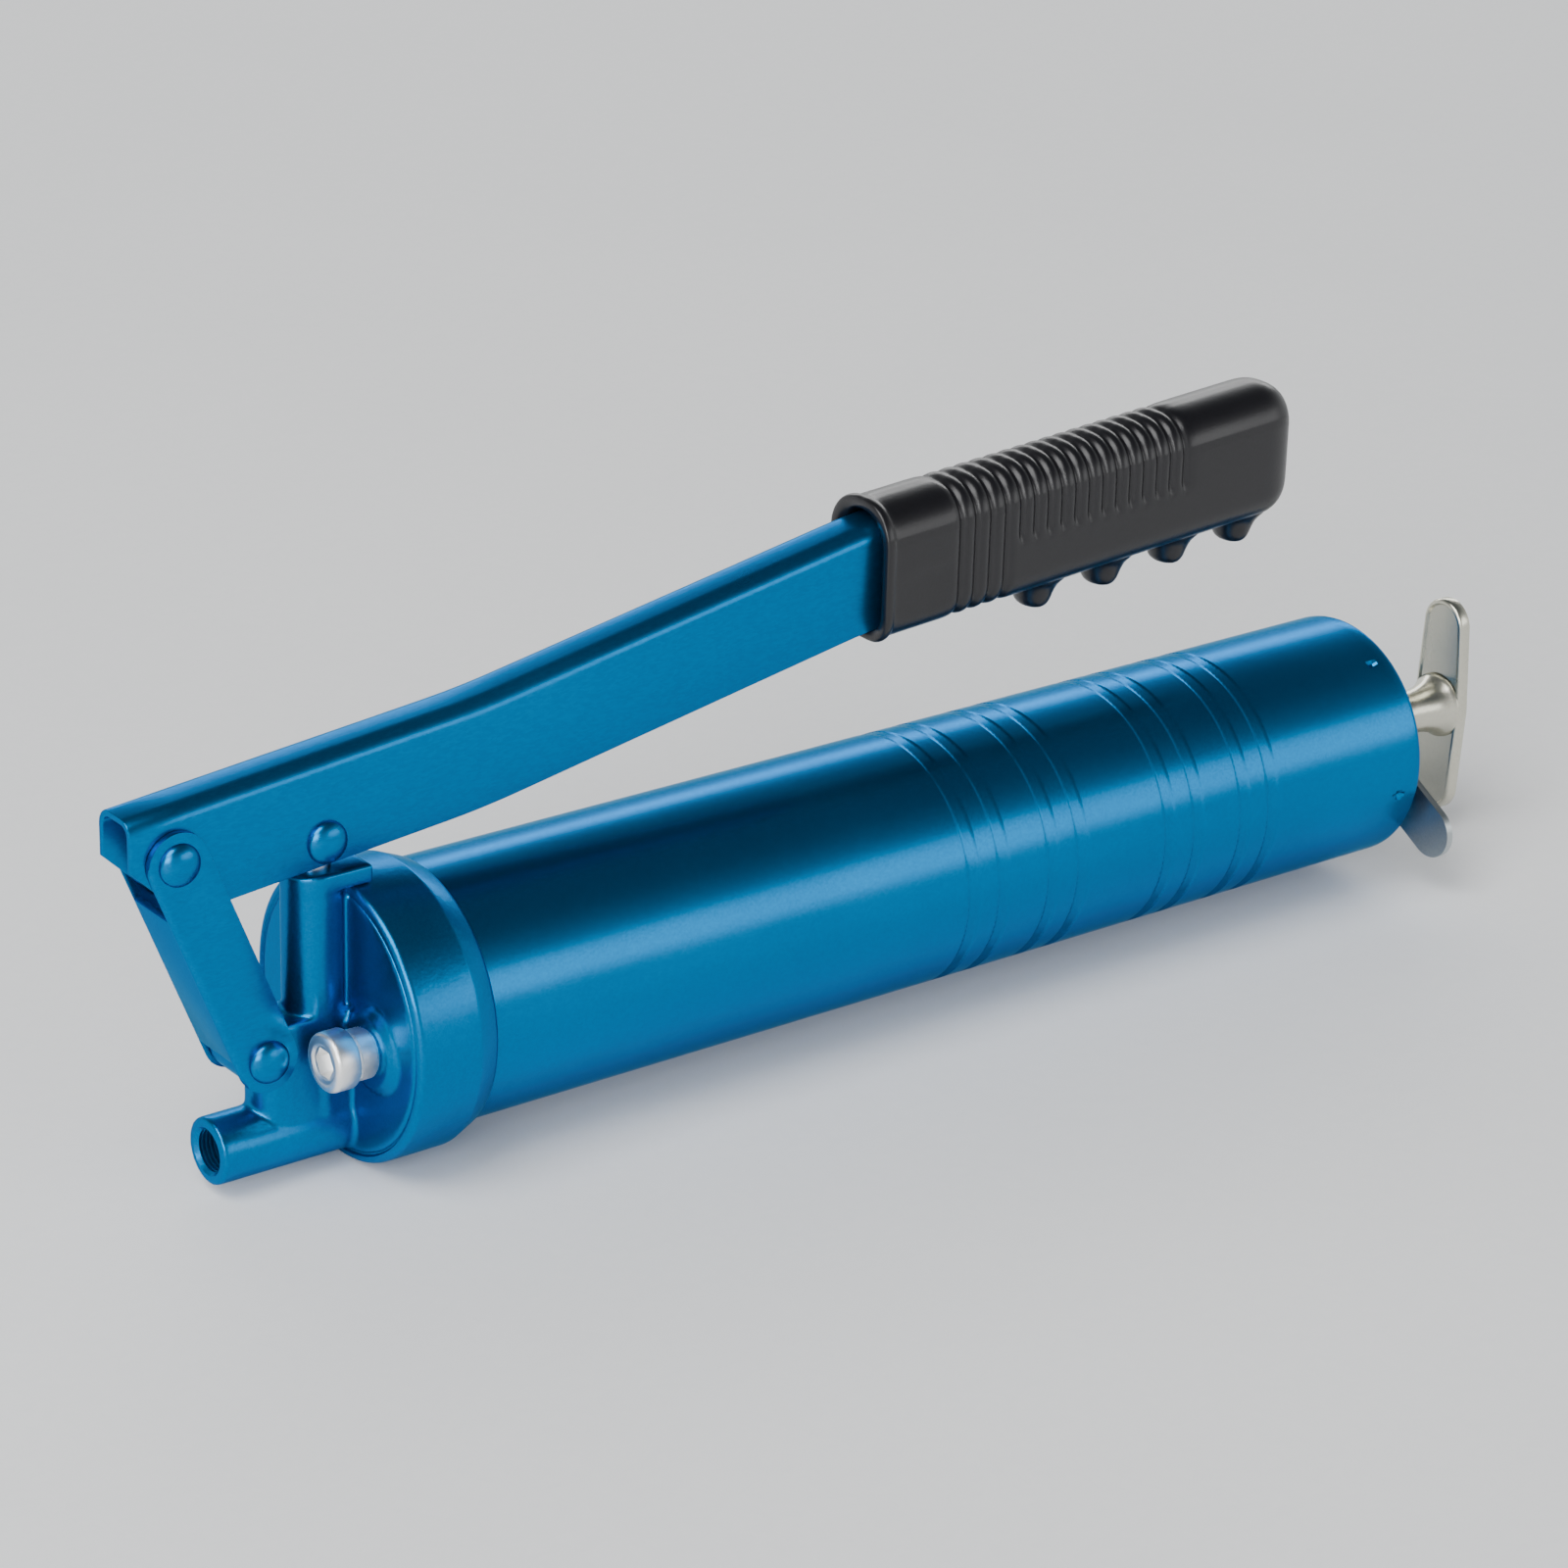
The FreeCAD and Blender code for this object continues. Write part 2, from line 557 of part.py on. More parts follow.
# ---------------------------------------------------------------- link
RUN = "(front_pivot_ahead + low_pivot_back)"
RISE = "(front_pivot_height - low_pivot_height)"
LENGTH = f"sqrt({RUN} ^ 2 + {RISE} ^ 2)"


def on_link(along, ahead):
    """A point along the link from its lower pivot, and ahead of its middle line."""
    x = f"0 - low_pivot_back + ({along}) * {RUN} / {LENGTH} + ({ahead}) * {RISE} / {LENGTH}"
    z = f"low_pivot_height + ({along}) * {RISE} / {LENGTH} - ({ahead}) * {RUN} / {LENGTH}"
    return x, z


LINK_WIDTH = "2 * (lever_half + side_gap + link_sheet)"
LOW_PIVOT = ("0 - low_pivot_back", "low_pivot_height")
FRONT_PIVOT = ("front_pivot_ahead * 1", "front_pivot_height")


def fulcrum_link():
    """Channel of pressed sheet: two cheeks with round ends, tied by a web at the front."""
    body = body_at("fulcrum_link")
    sides = polygon(body, "XZ_Plane", "link_side", [
        on_link("0", "link_half"), on_link(LENGTH, "link_half"),
        on_link(LENGTH, "0 - link_half"), on_link("0", "0 - link_half"),
    ])
    across(body, "Pad", "link_blank", sides, LINK_WIDTH)
    for name, centre in (("low_end", LOW_PIVOT), ("top_end", FRONT_PIVOT)):
        across(body, "Pad", name, circle(body, "XZ_Plane", name + "_round", centre, "link_half"),
               LINK_WIDTH)
    beyond = "(3 * link_half)"
    inner = "link_half - link_sheet"
    low = "web_low"
    high = f"{LENGTH} - web_top"
    hollow = polygon(body, "XZ_Plane", "link_hollow_side", [
        on_link(f"0 - {beyond}", f"0 - {beyond}"), on_link(f"0 - {beyond}", beyond),
        on_link(low, beyond), on_link(low, inner), on_link(high, inner), on_link(high, beyond),
        on_link(f"{LENGTH} + {beyond}", beyond), on_link(f"{LENGTH} + {beyond}", f"0 - {beyond}"),
    ])
    across(body, "Pocket", "link_hollow", hollow, "2 * (lever_half + side_gap)")
    for name, centre in (("low_hole", LOW_PIVOT), ("top_hole", FRONT_PIVOT)):
        hole = circle(body, "XZ_Plane", name + "_round", centre, "rivet_radius + press_gap")
        across(body, "Pocket", name, hole, f"{LINK_WIDTH} + 2 * cut_over")
    return body


node(fulcrum_link())


def rivet(name, centre, grip_half):
    """A dome-headed rivet along Y, its shank closed over cheeks grip_half from the middle."""
    body = body_at(name, x=centre[0], z=centre[1])
    head = f"{grip_half} + press_gap"
    top = f"{head} + rivet_head_rise"
    half = [
        ("rivet_radius", head),
        ("rivet_head_radius", head),
        ("dome_shoulder_radius", f"{head} + dome_shoulder_rise"),
        ("dome_crown_radius", f"{top} - dome_crown_drop"),
        ("0", top),
    ]
    corners = [(radius, f"0 - ({place})") for radius, place in half[::-1]] + half
    sketch = polygon(body, "XY_Plane", name + "_profile", corners)
    feature = body.newObject("PartDesign::Revolution", name + "_turned")
    feature.Profile = sketch
    feature.ReferenceAxis = (sketch, ["V_Axis"])
    feature.Angle = 360
    return body


LINK_GRIP = "lever_half + side_gap + link_sheet"
PLUNGER_PIVOT = ("0 - pump_back", "plunger_pivot_height")
node(rivet("lower_pivot_rivet", LOW_PIVOT, LINK_GRIP))
node(rivet("front_pivot_rivet", FRONT_PIVOT, LINK_GRIP))
node(rivet("plunger_rivet", PLUNGER_PIVOT, "lever_half"))

# ---------------------------------------------------------------- lever
KNEE_TOP = "(lever_nose_top + (lever_nose_ahead + lever_knee_back) * front_slope)"
BEND_TOP = f"({KNEE_TOP} + (lever_bend_back - lever_knee_back) * middle_slope)"
TAIL_TOP = f"({BEND_TOP} + (lever_tail_back - lever_bend_back) * grip_slope)"


def lever_line(drop, over="0"):
    """The lever's upper line moved down by drop, from nose to tail, run on by over."""
    return [
        (f"lever_nose_ahead + {over}", f"lever_nose_top - ({drop}) - ({over}) * front_slope"),
        ("0 - lever_knee_back", f"{KNEE_TOP} - ({drop})"),
        ("0 - lever_bend_back", f"{BEND_TOP} - ({drop})"),
        (f"0 - lever_tail_back - {over}", f"{TAIL_TOP} - ({drop}) + ({over}) * grip_slope"),
    ]


def upper_edge(edge):
    """True for the long edges along the top of a lever or grip, on either side."""
    middle = edge.CenterOfMass
    widest = max(abs(v.Point.y) for v in edge.Vertexes)
    long = edge.Length > NEAR * amount_of("lever_depth")
    return abs(middle.y) > widest - TOUCH and long and not runs_along_y(edge)


def lever_channel():
    """Pressed channel, open below: straight front stretch, raised middle and a flat tail."""
    body = body_at("lever_channel")
    top = lever_line("0")
    low = lever_line("lever_depth")
    nose = low[0]
    cut_low = (f"{nose[0]} - nose_cut", f"{nose[1]} + nose_cut * front_slope")
    cut_high = (nose[0], f"{nose[1]} + nose_cut_rise")
    sides = polygon(body, "XZ_Plane", "lever_side",
                    top + [low[3], low[2], low[1], cut_low, cut_high])
    blank = across(body, "Pad", "lever_blank", sides, "2 * lever_half")
    knees = [amount_of("0 - lever_knee_back"), amount_of("0 - lever_bend_back")]

    def is_knee(edge):
        return runs_along_y(edge) and min(abs(edge.CenterOfMass.x - x) for x in knees) < NEAR

    bent = rounded(body, blank, "lever_bends", "bend_round", is_knee)
    low_line = [(amount_of(u), amount_of(v)) for u, v in (low[3], low[2], low[1], low[0])]

    def is_top(edge):
        spot = edge.CenterOfMass
        for (x0, z0), (x1, z1) in zip(low_line, low_line[1:]):
            if x0 <= spot.x <= x1:
                share = (spot.x - x0) / (x1 - x0)
                return spot.z > z0 + share * (z1 - z0) + amount_of("lever_depth") / 2
        return False

    crowned = rounded(body, bent, "lever_crown", "lever_crown",
                      lambda edge: upper_edge(edge) and is_top(edge))
    under = lever_line("lever_depth + open_cut", "hollow_over")
    hollow = polygon(body, "XZ_Plane", "lever_hollow_side",
                     lever_line("lever_sheet", "hollow_over") + under[::-1])
    channel = across(body, "Pocket", "lever_hollow", hollow, "2 * (lever_half - lever_sheet)")
    for name, centre, gap in (("front_hole", FRONT_PIVOT, "run_gap"),
                              ("plunger_hole", PLUNGER_PIVOT, "press_gap")):
        hole = circle(body, "XZ_Plane", name + "_round", centre, f"rivet_radius + {gap}")
        across(body, "Pocket", name, hole, "2 * (lever_half + cut_over)")
    return body


node(lever_channel())


NUB_COUNT = 4


def lever_grip():
    """Moulded sleeve pushed over the lever's tail, with four finger nubs below."""
    body = body_at("grip_sleeve")
    length = "(grip_rear_back - grip_front_back)"
    front = "0 - grip_front_back"
    rear = "0 - grip_rear_back"
    sides = polygon(body, "XZ_Plane", "grip_side", [
        (front, "grip_low_height"), (front, "grip_low_height + grip_depth"),
        (rear, f"grip_low_height + grip_depth + {length} * grip_slope"),
        (rear, f"grip_low_height + {length} * grip_slope"),
    ])
    blank = across(body, "Pad", "grip_blank", sides, "2 * grip_half")
    middle = amount_of(f"grip_low_height + grip_depth / 2 + {length} * grip_slope / 2")

    def long_edge(edge):
        return edge.Length > MOST * amount_of(length) and not runs_along_y(edge)

    crowned = rounded(body, blank, "grip_crown", "grip_crown",
                      lambda edge: long_edge(edge) and edge.CenterOfMass.z > middle)
    low_edge = middle - amount_of("grip_depth") / 4
    bellied = rounded(body, crowned, "grip_belly", "grip_belly",
                      lambda edge: long_edge(edge) and edge.CenterOfMass.z < low_edge)
    end_x = amount_of(rear)
    rounded(body, bellied, "grip_end", "grip_end_round",
            lambda edge: all(abs(v.Point.x - end_x) < TOUCH for v in edge.Vertexes))
    ahead = "(lever_bend_back - grip_front_back + hollow_over)"
    mouth_x = "0 - grip_front_back + hollow_over"
    tail_x = "0 - lever_tail_back - thread_gap"
    over = "+ thread_gap"
    under = "- lever_depth - thread_gap"
    inside = polygon(body, "XZ_Plane", "grip_hollow_side", [
        (mouth_x, f"{BEND_TOP} {over} - {ahead} * middle_slope"),
        ("0 - lever_bend_back", f"{BEND_TOP} {over}"),
        (tail_x, f"{TAIL_TOP} {over}"),
        (tail_x, f"{TAIL_TOP} {under}"),
        ("0 - lever_bend_back", f"{BEND_TOP} {under}"),
        (mouth_x, f"{BEND_TOP} {under} - {ahead} * middle_slope"),
    ])
    across(body, "Pocket", "grip_hollow", inside, "2 * (lever_half + thread_gap)")
    pieces = [body]
    for number in range(NUB_COUNT):
        back = f"(nub_first_back + {number} * nub_spacing)"
        under = f"(grip_low_height + ({back} - grip_front_back) * grip_slope)"
        centre = f"{under} - nub_drop + nub_radius"
        pieces.append(rod_shape(f"nub_tip_{number + 1}", "y", (f"0 - {back}", "0 - nub_half", centre),
                                "2 * nub_half", "nub_radius"))
        pieces.append(block(f"nub_root_{number + 1}", (f"0 - {back} - nub_radius", "0 - nub_half", centre),
                            ("2 * nub_radius", "2 * nub_half", "nub_drop - nub_radius + nub_root")))
    grip = joined("lever_grip", pieces)
    grip.Label = "lever_grip"
    return grip


node(lever_grip())


def plunger():
    """Ground rod with a flat eye; the eye's hole is a short slot, so the link can swing."""
    thick = "lever_half - lever_sheet - side_gap"
    x = "0 - pump_back"
    height = "plunger_pivot_height"
    eye = "eye_half - eye_rise"
    solid = [
        rod_shape("plunger_rod", "z", (x, "0", "plunger_low_height"),
                  "plunger_pivot_height - plunger_low_height", "plunger_radius"),
        block("eye_middle", (f"{x} - ({eye})", f"0 - ({thick})", f"{height} - eye_rise"),
              (f"2 * ({eye})", f"2 * ({thick})", "2 * eye_rise")),
    ]
    holes = [block("slot_middle", (f"{x} - slot_play", "0 - lever_half",
                                   f"{height} - rivet_radius - eye_play"),
                   ("2 * slot_play", "2 * lever_half", "2 * (rivet_radius + eye_play)"))]
    for side, sign in (("rear", "-"), ("front", "+")):
        solid.append(rod_shape(f"eye_{side}", "y", (f"{x} {sign} ({eye})", f"0 - ({thick})", height),
                               f"2 * ({thick})", "eye_rise"))
        holes.append(rod_shape(f"slot_{side}", "y", (f"{x} {sign} slot_play", "0 - lever_half", height),
                               "2 * lever_half", "rivet_radius + eye_play"))
    return less("plunger", joined("plunger_metal", solid), holes)


node(plunger())

# ---------------------------------------------------------------- rear cap and lock plate
CAP_REAR = "0 - barrel_back + lip_depth"
CAP_RADIUS = "barrel_radius - barrel_wall - thread_gap"
BUSH_HOLE = "bush_radius + press_gap"
PLATE_X = "0 - barrel_back - tab_gap - tab_thickness"
TAB_TURN = Rotation(Vector(1, 0, 0), amount_of("tab_angle"))


def rear_cap():
    """Pressed cup in the barrel's end, with a hook that holds the edge of the lock plate."""
    cup = turned("cap_cup", [
        (CAP_REAR, BUSH_HOLE),
        (CAP_REAR, CAP_RADIUS),
        (f"{CAP_REAR} + cap_skirt", CAP_RADIUS),
        (f"{CAP_REAR} + cap_skirt", f"{CAP_RADIUS} - cap_wall"),
        (f"{CAP_REAR} + cap_wall", f"{CAP_RADIUS} - cap_wall"),
        (f"{CAP_REAR} + cap_wall", BUSH_HOLE),
    ])
    post_reach = f"({CAP_REAR}) - ({PLATE_X}) + hook_gap + hook_sheet"
    outer = "0 - tab_ring - hook_gap - hook_sheet"
    hook = joined("cap_hook", [
        block("hook_post", ("0", outer, "0 - hook_half"),
              (f"{post_reach} + press_gap", "hook_sheet", "2 * hook_half")),
        block("hook_lip", ("0", outer, "0 - hook_half"),
              ("hook_sheet", "hook_sheet + hook_gap + hook_grip", "2 * hook_half")),
    ])
    hook.Placement = Placement(Vector(), TAB_TURN)
    bind(hook, Placement__Base__x=f"{PLATE_X} - hook_gap - hook_sheet", Placement__Base__z="axis_height")
    cap = joined("rear_cap", [cup, hook])
    cap.Label = "rear_cap"
    return cap


node(rear_cap())
node(turned("rod_guide_bush", [
    (CAP_REAR, "rod_radius + run_gap"),
    (CAP_REAR, "bush_radius"),
    (f"{CAP_REAR} + cap_wall + press_gap", "bush_radius"),
    (f"{CAP_REAR} + cap_wall + press_gap", "bush_flange"),
    (f"{CAP_REAR} + bush_length", "bush_flange"),
    (f"{CAP_REAR} + bush_length", "rod_radius + run_gap"),
]))


def rod_lock_plate():
    """Flat plate threaded on the rod, with a round-ended tongue that sticks out past the barrel."""
    tip = "tab_reach - tab_half"
    solid = joined("lock_plate_metal", [
        rod_shape("lock_ring", "x", ("0", "0", "0"), "tab_thickness", "tab_ring"),
        block("lock_tongue", ("0", "0", "0 - tab_half"), ("tab_thickness", tip, "2 * tab_half")),
        rod_shape("lock_tip", "x", ("0", tip, "0"), "tab_thickness", "tab_half"),
        rod_shape("lock_bead", "z", ("tab_thickness / 2", "0 - fulcrum_reach", "0 - fulcrum_half"),
                  "2 * fulcrum_half", "fulcrum_radius"),
    ])
    hole = rod_shape("lock_hole", "x", ("0 - cut_over", "0", "0"), "tab_thickness + 2 * cut_over",
                     "rod_radius + tab_hole_gap")
    plate = less("rod_lock_plate", solid, [hole])
    plate.Placement = Placement(Vector(), TAB_TURN)
    return bind(plate, Placement__Base__x=PLATE_X, Placement__Base__z="axis_height")


node(rod_lock_plate())
node(coil("lock_spring", f"{PLATE_X} + tab_thickness", CAP_REAR, ("0", "axis_height"),
          ("lock_coil", "lock_wire", "lock_turns")))

# ---------------------------------------------------------------- rod, handle and follower
PLATE_FRONT = "0 - rod_front_back - rod_edge - nut_thickness"
ROD_REAR = "0 - handle_back - handle_sheet - rod_head_gap"
node(turned("follower_rod", [
    ("0 - rod_front_back", "0"),
    ("0 - rod_front_back", "rod_radius - rod_edge"),
    ("0 - rod_front_back - rod_edge", "rod_radius"),
    (ROD_REAR, "rod_radius"),
    (ROD_REAR, "rod_radius + rod_head"),
    (f"{ROD_REAR} - rod_head_low", "rod_radius"),
    (f"{ROD_REAR} - rod_head_low - rod_head_rise", "0"),
]))


def pull_handle():
    """Stamped oblong plate, its edge turned to the rear all round."""
    body = body_at("pull_handle", x="0 - handle_back", z="axis_height")

    def oblong(name, inset):
        """Outline of two end arcs and two slightly bulged sides."""
        end, wide = f"(handle_end - {inset})", f"(handle_bulge - {inset})"
        turn, sag = "(handle_half - handle_end)", "(handle_bulge - handle_end)"
        side = f"({turn} ^ 2 + {sag} ^ 2) / (2 * {sag})"
        corners = [(end, turn), (f"0 - {end}", turn), (f"0 - {end}", f"0 - {turn}"), (end, f"0 - {turn}")]
        crowns = [("0", f"{turn} + {end}"), (f"0 - {wide}", "0"), ("0", f"0 - {turn} - {end}"), (wide, "0")]
        middles = [("DistanceY", turn), ("DistanceX", f"{side} - {wide}"),
                   ("DistanceY", f"0 - {turn}"), ("DistanceX", f"{wide} - {side}")]
        sketch = flat_sketch(body, "YZ_Plane", name)
        spots = [Vector(amount_of(u), amount_of(v), 0) for u, v in corners + crowns]
        count = len(corners)
        for index in range(count):
            arc = Part.Arc(spots[index], spots[index + count], spots[(index + 1) % count])
            sketch.addGeometry(arc, False)
        for index, (kind, place) in enumerate(middles):
            sketch.addConstraint(Sketcher.Constraint("Coincident", index, 2, (index + 1) % count, 1))
            pin_point(sketch, index, 1, corners[index])
            number = sketch.addConstraint(Sketcher.Constraint(kind, -1, 1, index, 3, amount_of(place)))
            sketch.setExpression(f"Constraints[{number}]", bound(place))
        return sketch

    blank = body.newObject("PartDesign::Pad", "handle_blank")
    blank.Profile = oblong("handle_outline", "0")
    blank.Reversed = True
    bind(blank, Length="handle_depth")
    rounded(body, blank, "handle_front_round", "handle_edge",
                         lambda edge: all(abs(v.Point.x) < TOUCH for v in edge.Vertexes))
    dish = body.newObject("PartDesign::Pocket", "handle_dish")
    sketch = oblong("handle_inside", "handle_sheet")
    bind(sketch, AttachmentOffset__Base__z="0 - handle_depth")
    dish.Profile = sketch
    dish.Reversed = True
    bind(dish, Length="handle_depth - handle_sheet")
    hole = body.newObject("PartDesign::Pocket", "handle_hole")
    hole.Profile = circle(body, "YZ_Plane", "handle_hole_round", ("0", "0"), "rod_radius + press_gap")
    hole.Type = "ThroughAll"
    hole.SideType = "Symmetric"
    return body


node(pull_handle())
FERRULE_END = "0 - handle_back + ferrule_length"
node(turned("handle_ferrule", [
    ("0 - handle_back", "rod_radius + press_gap"),
    ("0 - handle_back", "ferrule_flare"),
    ("0 - handle_back + ferrule_swell", "(ferrule_flare + ferrule_radius) / 2"),
    ("0 - handle_back + ferrule_cone", "ferrule_radius"),
    (f"{FERRULE_END} - ferrule_edge", "ferrule_radius"),
    (FERRULE_END, "ferrule_radius - ferrule_edge"),
    (FERRULE_END, "rod_radius + press_gap"),
]))


def disc(name, front, thickness, radius):
    return node(turned(name, [
        (front, "rod_radius + press_gap"), (front, radius),
        (f"{front} - {thickness}", radius), (f"{front} - {thickness}", "rod_radius + press_gap"),
    ]))


disc("follower_front_plate", PLATE_FRONT, "plate_thickness", "plate_radius")
CUP_FRONT = f"{PLATE_FRONT} - plate_thickness - press_gap"
CUP_RADIUS = "barrel_radius - barrel_wall - 2 * run_gap"
node(turned("follower_cup", [
    (CUP_FRONT, "rod_radius + press_gap"),
    (CUP_FRONT, f"{CUP_RADIUS} - cup_wall"),
    (f"{CUP_FRONT} + cup_lip - cup_base", f"{CUP_RADIUS} - cup_wall / 2"),
    (f"{CUP_FRONT} + cup_lip - cup_base", CUP_RADIUS),
    (f"{CUP_FRONT} - cup_base", CUP_RADIUS),
    (f"{CUP_FRONT} - cup_base", "rod_radius + press_gap"),
]))
BACK_FRONT = f"{CUP_FRONT} - cup_base - press_gap"
disc("follower_back_plate", BACK_FRONT, "plate_thickness", "plate_radius + back_plate_extra")


def follower_nut():
    nut = doc.addObject("Part::Prism", "nut_blank")
    nut.Polygon = 6
    nut.Placement = Placement(Vector(), TURN["x"])
    bind(nut, Circumradius="nut_flats / sqrt(3)", Height="nut_thickness - press_gap")
    bind(nut, Placement__Base__x=f"{PLATE_FRONT} + press_gap", Placement__Base__z="axis_height")
    hole = rod_shape("nut_hole", "x", (PLATE_FRONT, "0", "axis_height"), "nut_thickness + cut_over",
                     "rod_radius + press_gap")
    return less("follower_nut", nut, [hole])


node(follower_nut())
node(coil("follower_spring", f"{CAP_REAR} + cap_wall + run_gap",
          f"{BACK_FRONT} - plate_thickness - run_gap", ("0", "axis_height"),
          ("spring_radius", "wire_radius", "spring_turns")))

# ---------------------------------------------------------------- checks and files
doc.recompute()
failed = [item.Name for item in doc.Objects if {"Invalid", "Error"} & set(item.State)]
if failed:
    raise RuntimeError(f"objects left failed: {failed}")
for piece in NODES:
    if piece.Shape.isNull() or not piece.Shape.isValid() or not piece.Shape.Solids:
        raise RuntimeError(f"{piece.Label} has no valid solid")
for piece in NODES:
    piece.Shape.exportStep(f"parts/{piece.Label}.step")
    print(f"{piece.Label}: {len(piece.Shape.Solids)} solid, {piece.Shape.Volume:.0f} mm3")
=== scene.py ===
# %% [markdown]
# # A lever grease gun, finished around its CAD frame
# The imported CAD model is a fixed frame: it says where every piece is and how it moves. This lesson
# gives it looks. First come the frame, the camera and the lights, then the finishes, and then the
# pieces from front to back. Pieces that are hidden, or whose CAD shape is already right, keep
# their CAD mesh and only get a finish.

# %% Load the frame
import json
import math

import bpy
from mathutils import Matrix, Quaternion, Vector


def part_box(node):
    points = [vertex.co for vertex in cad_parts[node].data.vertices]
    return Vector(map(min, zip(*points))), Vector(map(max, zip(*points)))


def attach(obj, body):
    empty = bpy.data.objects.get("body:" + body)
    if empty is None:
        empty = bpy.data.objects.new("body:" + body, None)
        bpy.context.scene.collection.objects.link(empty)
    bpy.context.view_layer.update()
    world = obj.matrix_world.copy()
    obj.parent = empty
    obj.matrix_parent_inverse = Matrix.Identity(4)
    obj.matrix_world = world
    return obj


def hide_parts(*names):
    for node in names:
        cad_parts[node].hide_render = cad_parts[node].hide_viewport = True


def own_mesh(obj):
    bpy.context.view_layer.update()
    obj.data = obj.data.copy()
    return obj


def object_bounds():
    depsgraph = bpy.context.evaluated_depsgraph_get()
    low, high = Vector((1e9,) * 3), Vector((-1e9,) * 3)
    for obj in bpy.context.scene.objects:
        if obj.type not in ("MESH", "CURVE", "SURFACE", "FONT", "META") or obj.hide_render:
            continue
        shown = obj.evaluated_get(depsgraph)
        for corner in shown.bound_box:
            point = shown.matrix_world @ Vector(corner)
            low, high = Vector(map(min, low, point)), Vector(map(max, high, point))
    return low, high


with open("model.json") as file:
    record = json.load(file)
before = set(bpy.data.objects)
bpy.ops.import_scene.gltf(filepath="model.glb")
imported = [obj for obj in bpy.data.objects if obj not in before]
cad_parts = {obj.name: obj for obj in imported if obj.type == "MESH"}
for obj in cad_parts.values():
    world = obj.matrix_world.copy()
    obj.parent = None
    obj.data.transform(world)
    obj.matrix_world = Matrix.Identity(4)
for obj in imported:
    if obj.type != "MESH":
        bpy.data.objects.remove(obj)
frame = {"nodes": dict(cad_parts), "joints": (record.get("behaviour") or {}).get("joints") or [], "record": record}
cad_low, cad_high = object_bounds()
print("CAD box in millimetres:", [round(1000 * (b - a), 1) for a, b in zip(cad_low, cad_high)])

# %% [markdown]
# ## Places read from the frame
# The places below come from the boxes of the CAD nodes and from the joints, so that the looks
# follow the design. Blender works in metres, and `MM` turns a maker's millimetres into them.

# %% Main places
MM = 0.001
ALONG, SIDEWAYS, UP = Vector((1, 0, 0)), Vector((0, 1, 0)), Vector((0, 0, 1))
nodes = frame["nodes"]
pivots = {j["name"]: Vector(j["pos_m"]) for j in frame["joints"] if j.get("pos_m")}
barrel_low, barrel_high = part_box("barrel_tube")
head_low, head_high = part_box("pump_head")
AXIS_Z = (barrel_low.z + barrel_high.z) / 2
BARREL_R = (barrel_high.z - barrel_low.z) / 2
BARREL_END = barrel_low.x
SKIRT_R = head_high.y
SKIRT_END = head_low.x
LOW_PIVOT = pivots["link_swing"]
FRONT_PIVOT = pivots["lever_pump"]
print("barrel radius", round(BARREL_R / MM, 2), "mm, axis at", round(AXIS_Z / MM, 2), "mm")

# %% [markdown]
# ## Camera
# The camera looks down on the filler side from ahead of the outlet. A long lens keeps the barrel
# from tapering, as in a catalogue picture. Its turn is built from the line of sight, and then
# rolled a little about that line.

# %% Place the camera
CAMERA_TARGET = Vector((-146.34, 0.0, 47.68)) * MM
CAMERA_DISTANCE = 1077.8 * MM
LENS, SENSOR, NEAR_CLIP = 113.77, 36.0, 0.05
AZIMUTH, ELEVATION, ROLL = (math.radians(a) for a in (142.465, 22.949, 1.652))
sight = Vector((
    math.sin(AZIMUTH) * math.cos(ELEVATION),
    -math.cos(AZIMUTH) * math.cos(ELEVATION),
    math.sin(ELEVATION),
))
bpy.ops.object.camera_add(location=CAMERA_TARGET + sight * CAMERA_DISTANCE)
camera = bpy.context.active_object
camera.name = "catalogue_camera"
camera.data.lens = LENS
camera.data.sensor_width = SENSOR
camera.data.clip_start = NEAR_CLIP
camera.rotation_mode = "QUATERNION"
camera.rotation_quaternion = (-sight).to_track_quat("-Z", "Y") @ Quaternion((0, 0, 1), ROLL)
bpy.context.scene.camera = camera
print("camera is", round(CAMERA_DISTANCE, 3), "m from the gun")

# %% [markdown]
# ## Light
# Enamel over metal shows its shape by what it mirrors. Every normal of a barrel along X lies
# across X, so a view from the front is always mirrored towards the rear. The panel for the
# barrel's broad light band therefore stands there, beside the gun. A second panel lights the floor
# and a third the head, both from ahead of the gun, where the barrel doesn't mirror them. A fourth,
# low behind the gun, lights the barrel's upper edge. The sky is darker overhead than at the
# horizon, which leaves the dark band in between. All the panels are large, so the shadows stay
# soft.

# %% Light panels and sky
GUN_MIDDLE = Vector((-0.15, 0.0, 0.05))


def light_panel(name, place, width, height, watts):
    """A soft rectangular light that faces the gun."""
    bpy.ops.object.light_add(type="AREA", location=place)
    lamp = bpy.context.active_object
    lamp.name = name
    lamp.data.shape = "RECTANGLE"
    lamp.data.size = width
    lamp.data.size_y = height
    lamp.data.energy = watts
    lamp.rotation_mode = "QUATERNION"
    lamp.rotation_quaternion = (GUN_MIDDLE - Vector(place)).to_track_quat("-Z", "Y")
    return lamp


PANELS = (  # name, place, width and height in metres, watts
    ("side_panel", (-1.38, 1.72, 0.67), 1.8, 0.8, 8),
    ("floor_panel", (1.1, 0.4, 2.0), 1.5, 1.5, 45),
    ("front_panel", (1.3, 1.1, 0.8), 1.2, 0.8, 22),
    ("rear_panel", (-1.2, -1.5, 0.78), 2.2, 0.35, 12),
)
for panel in PANELS:
    light_panel(*panel)

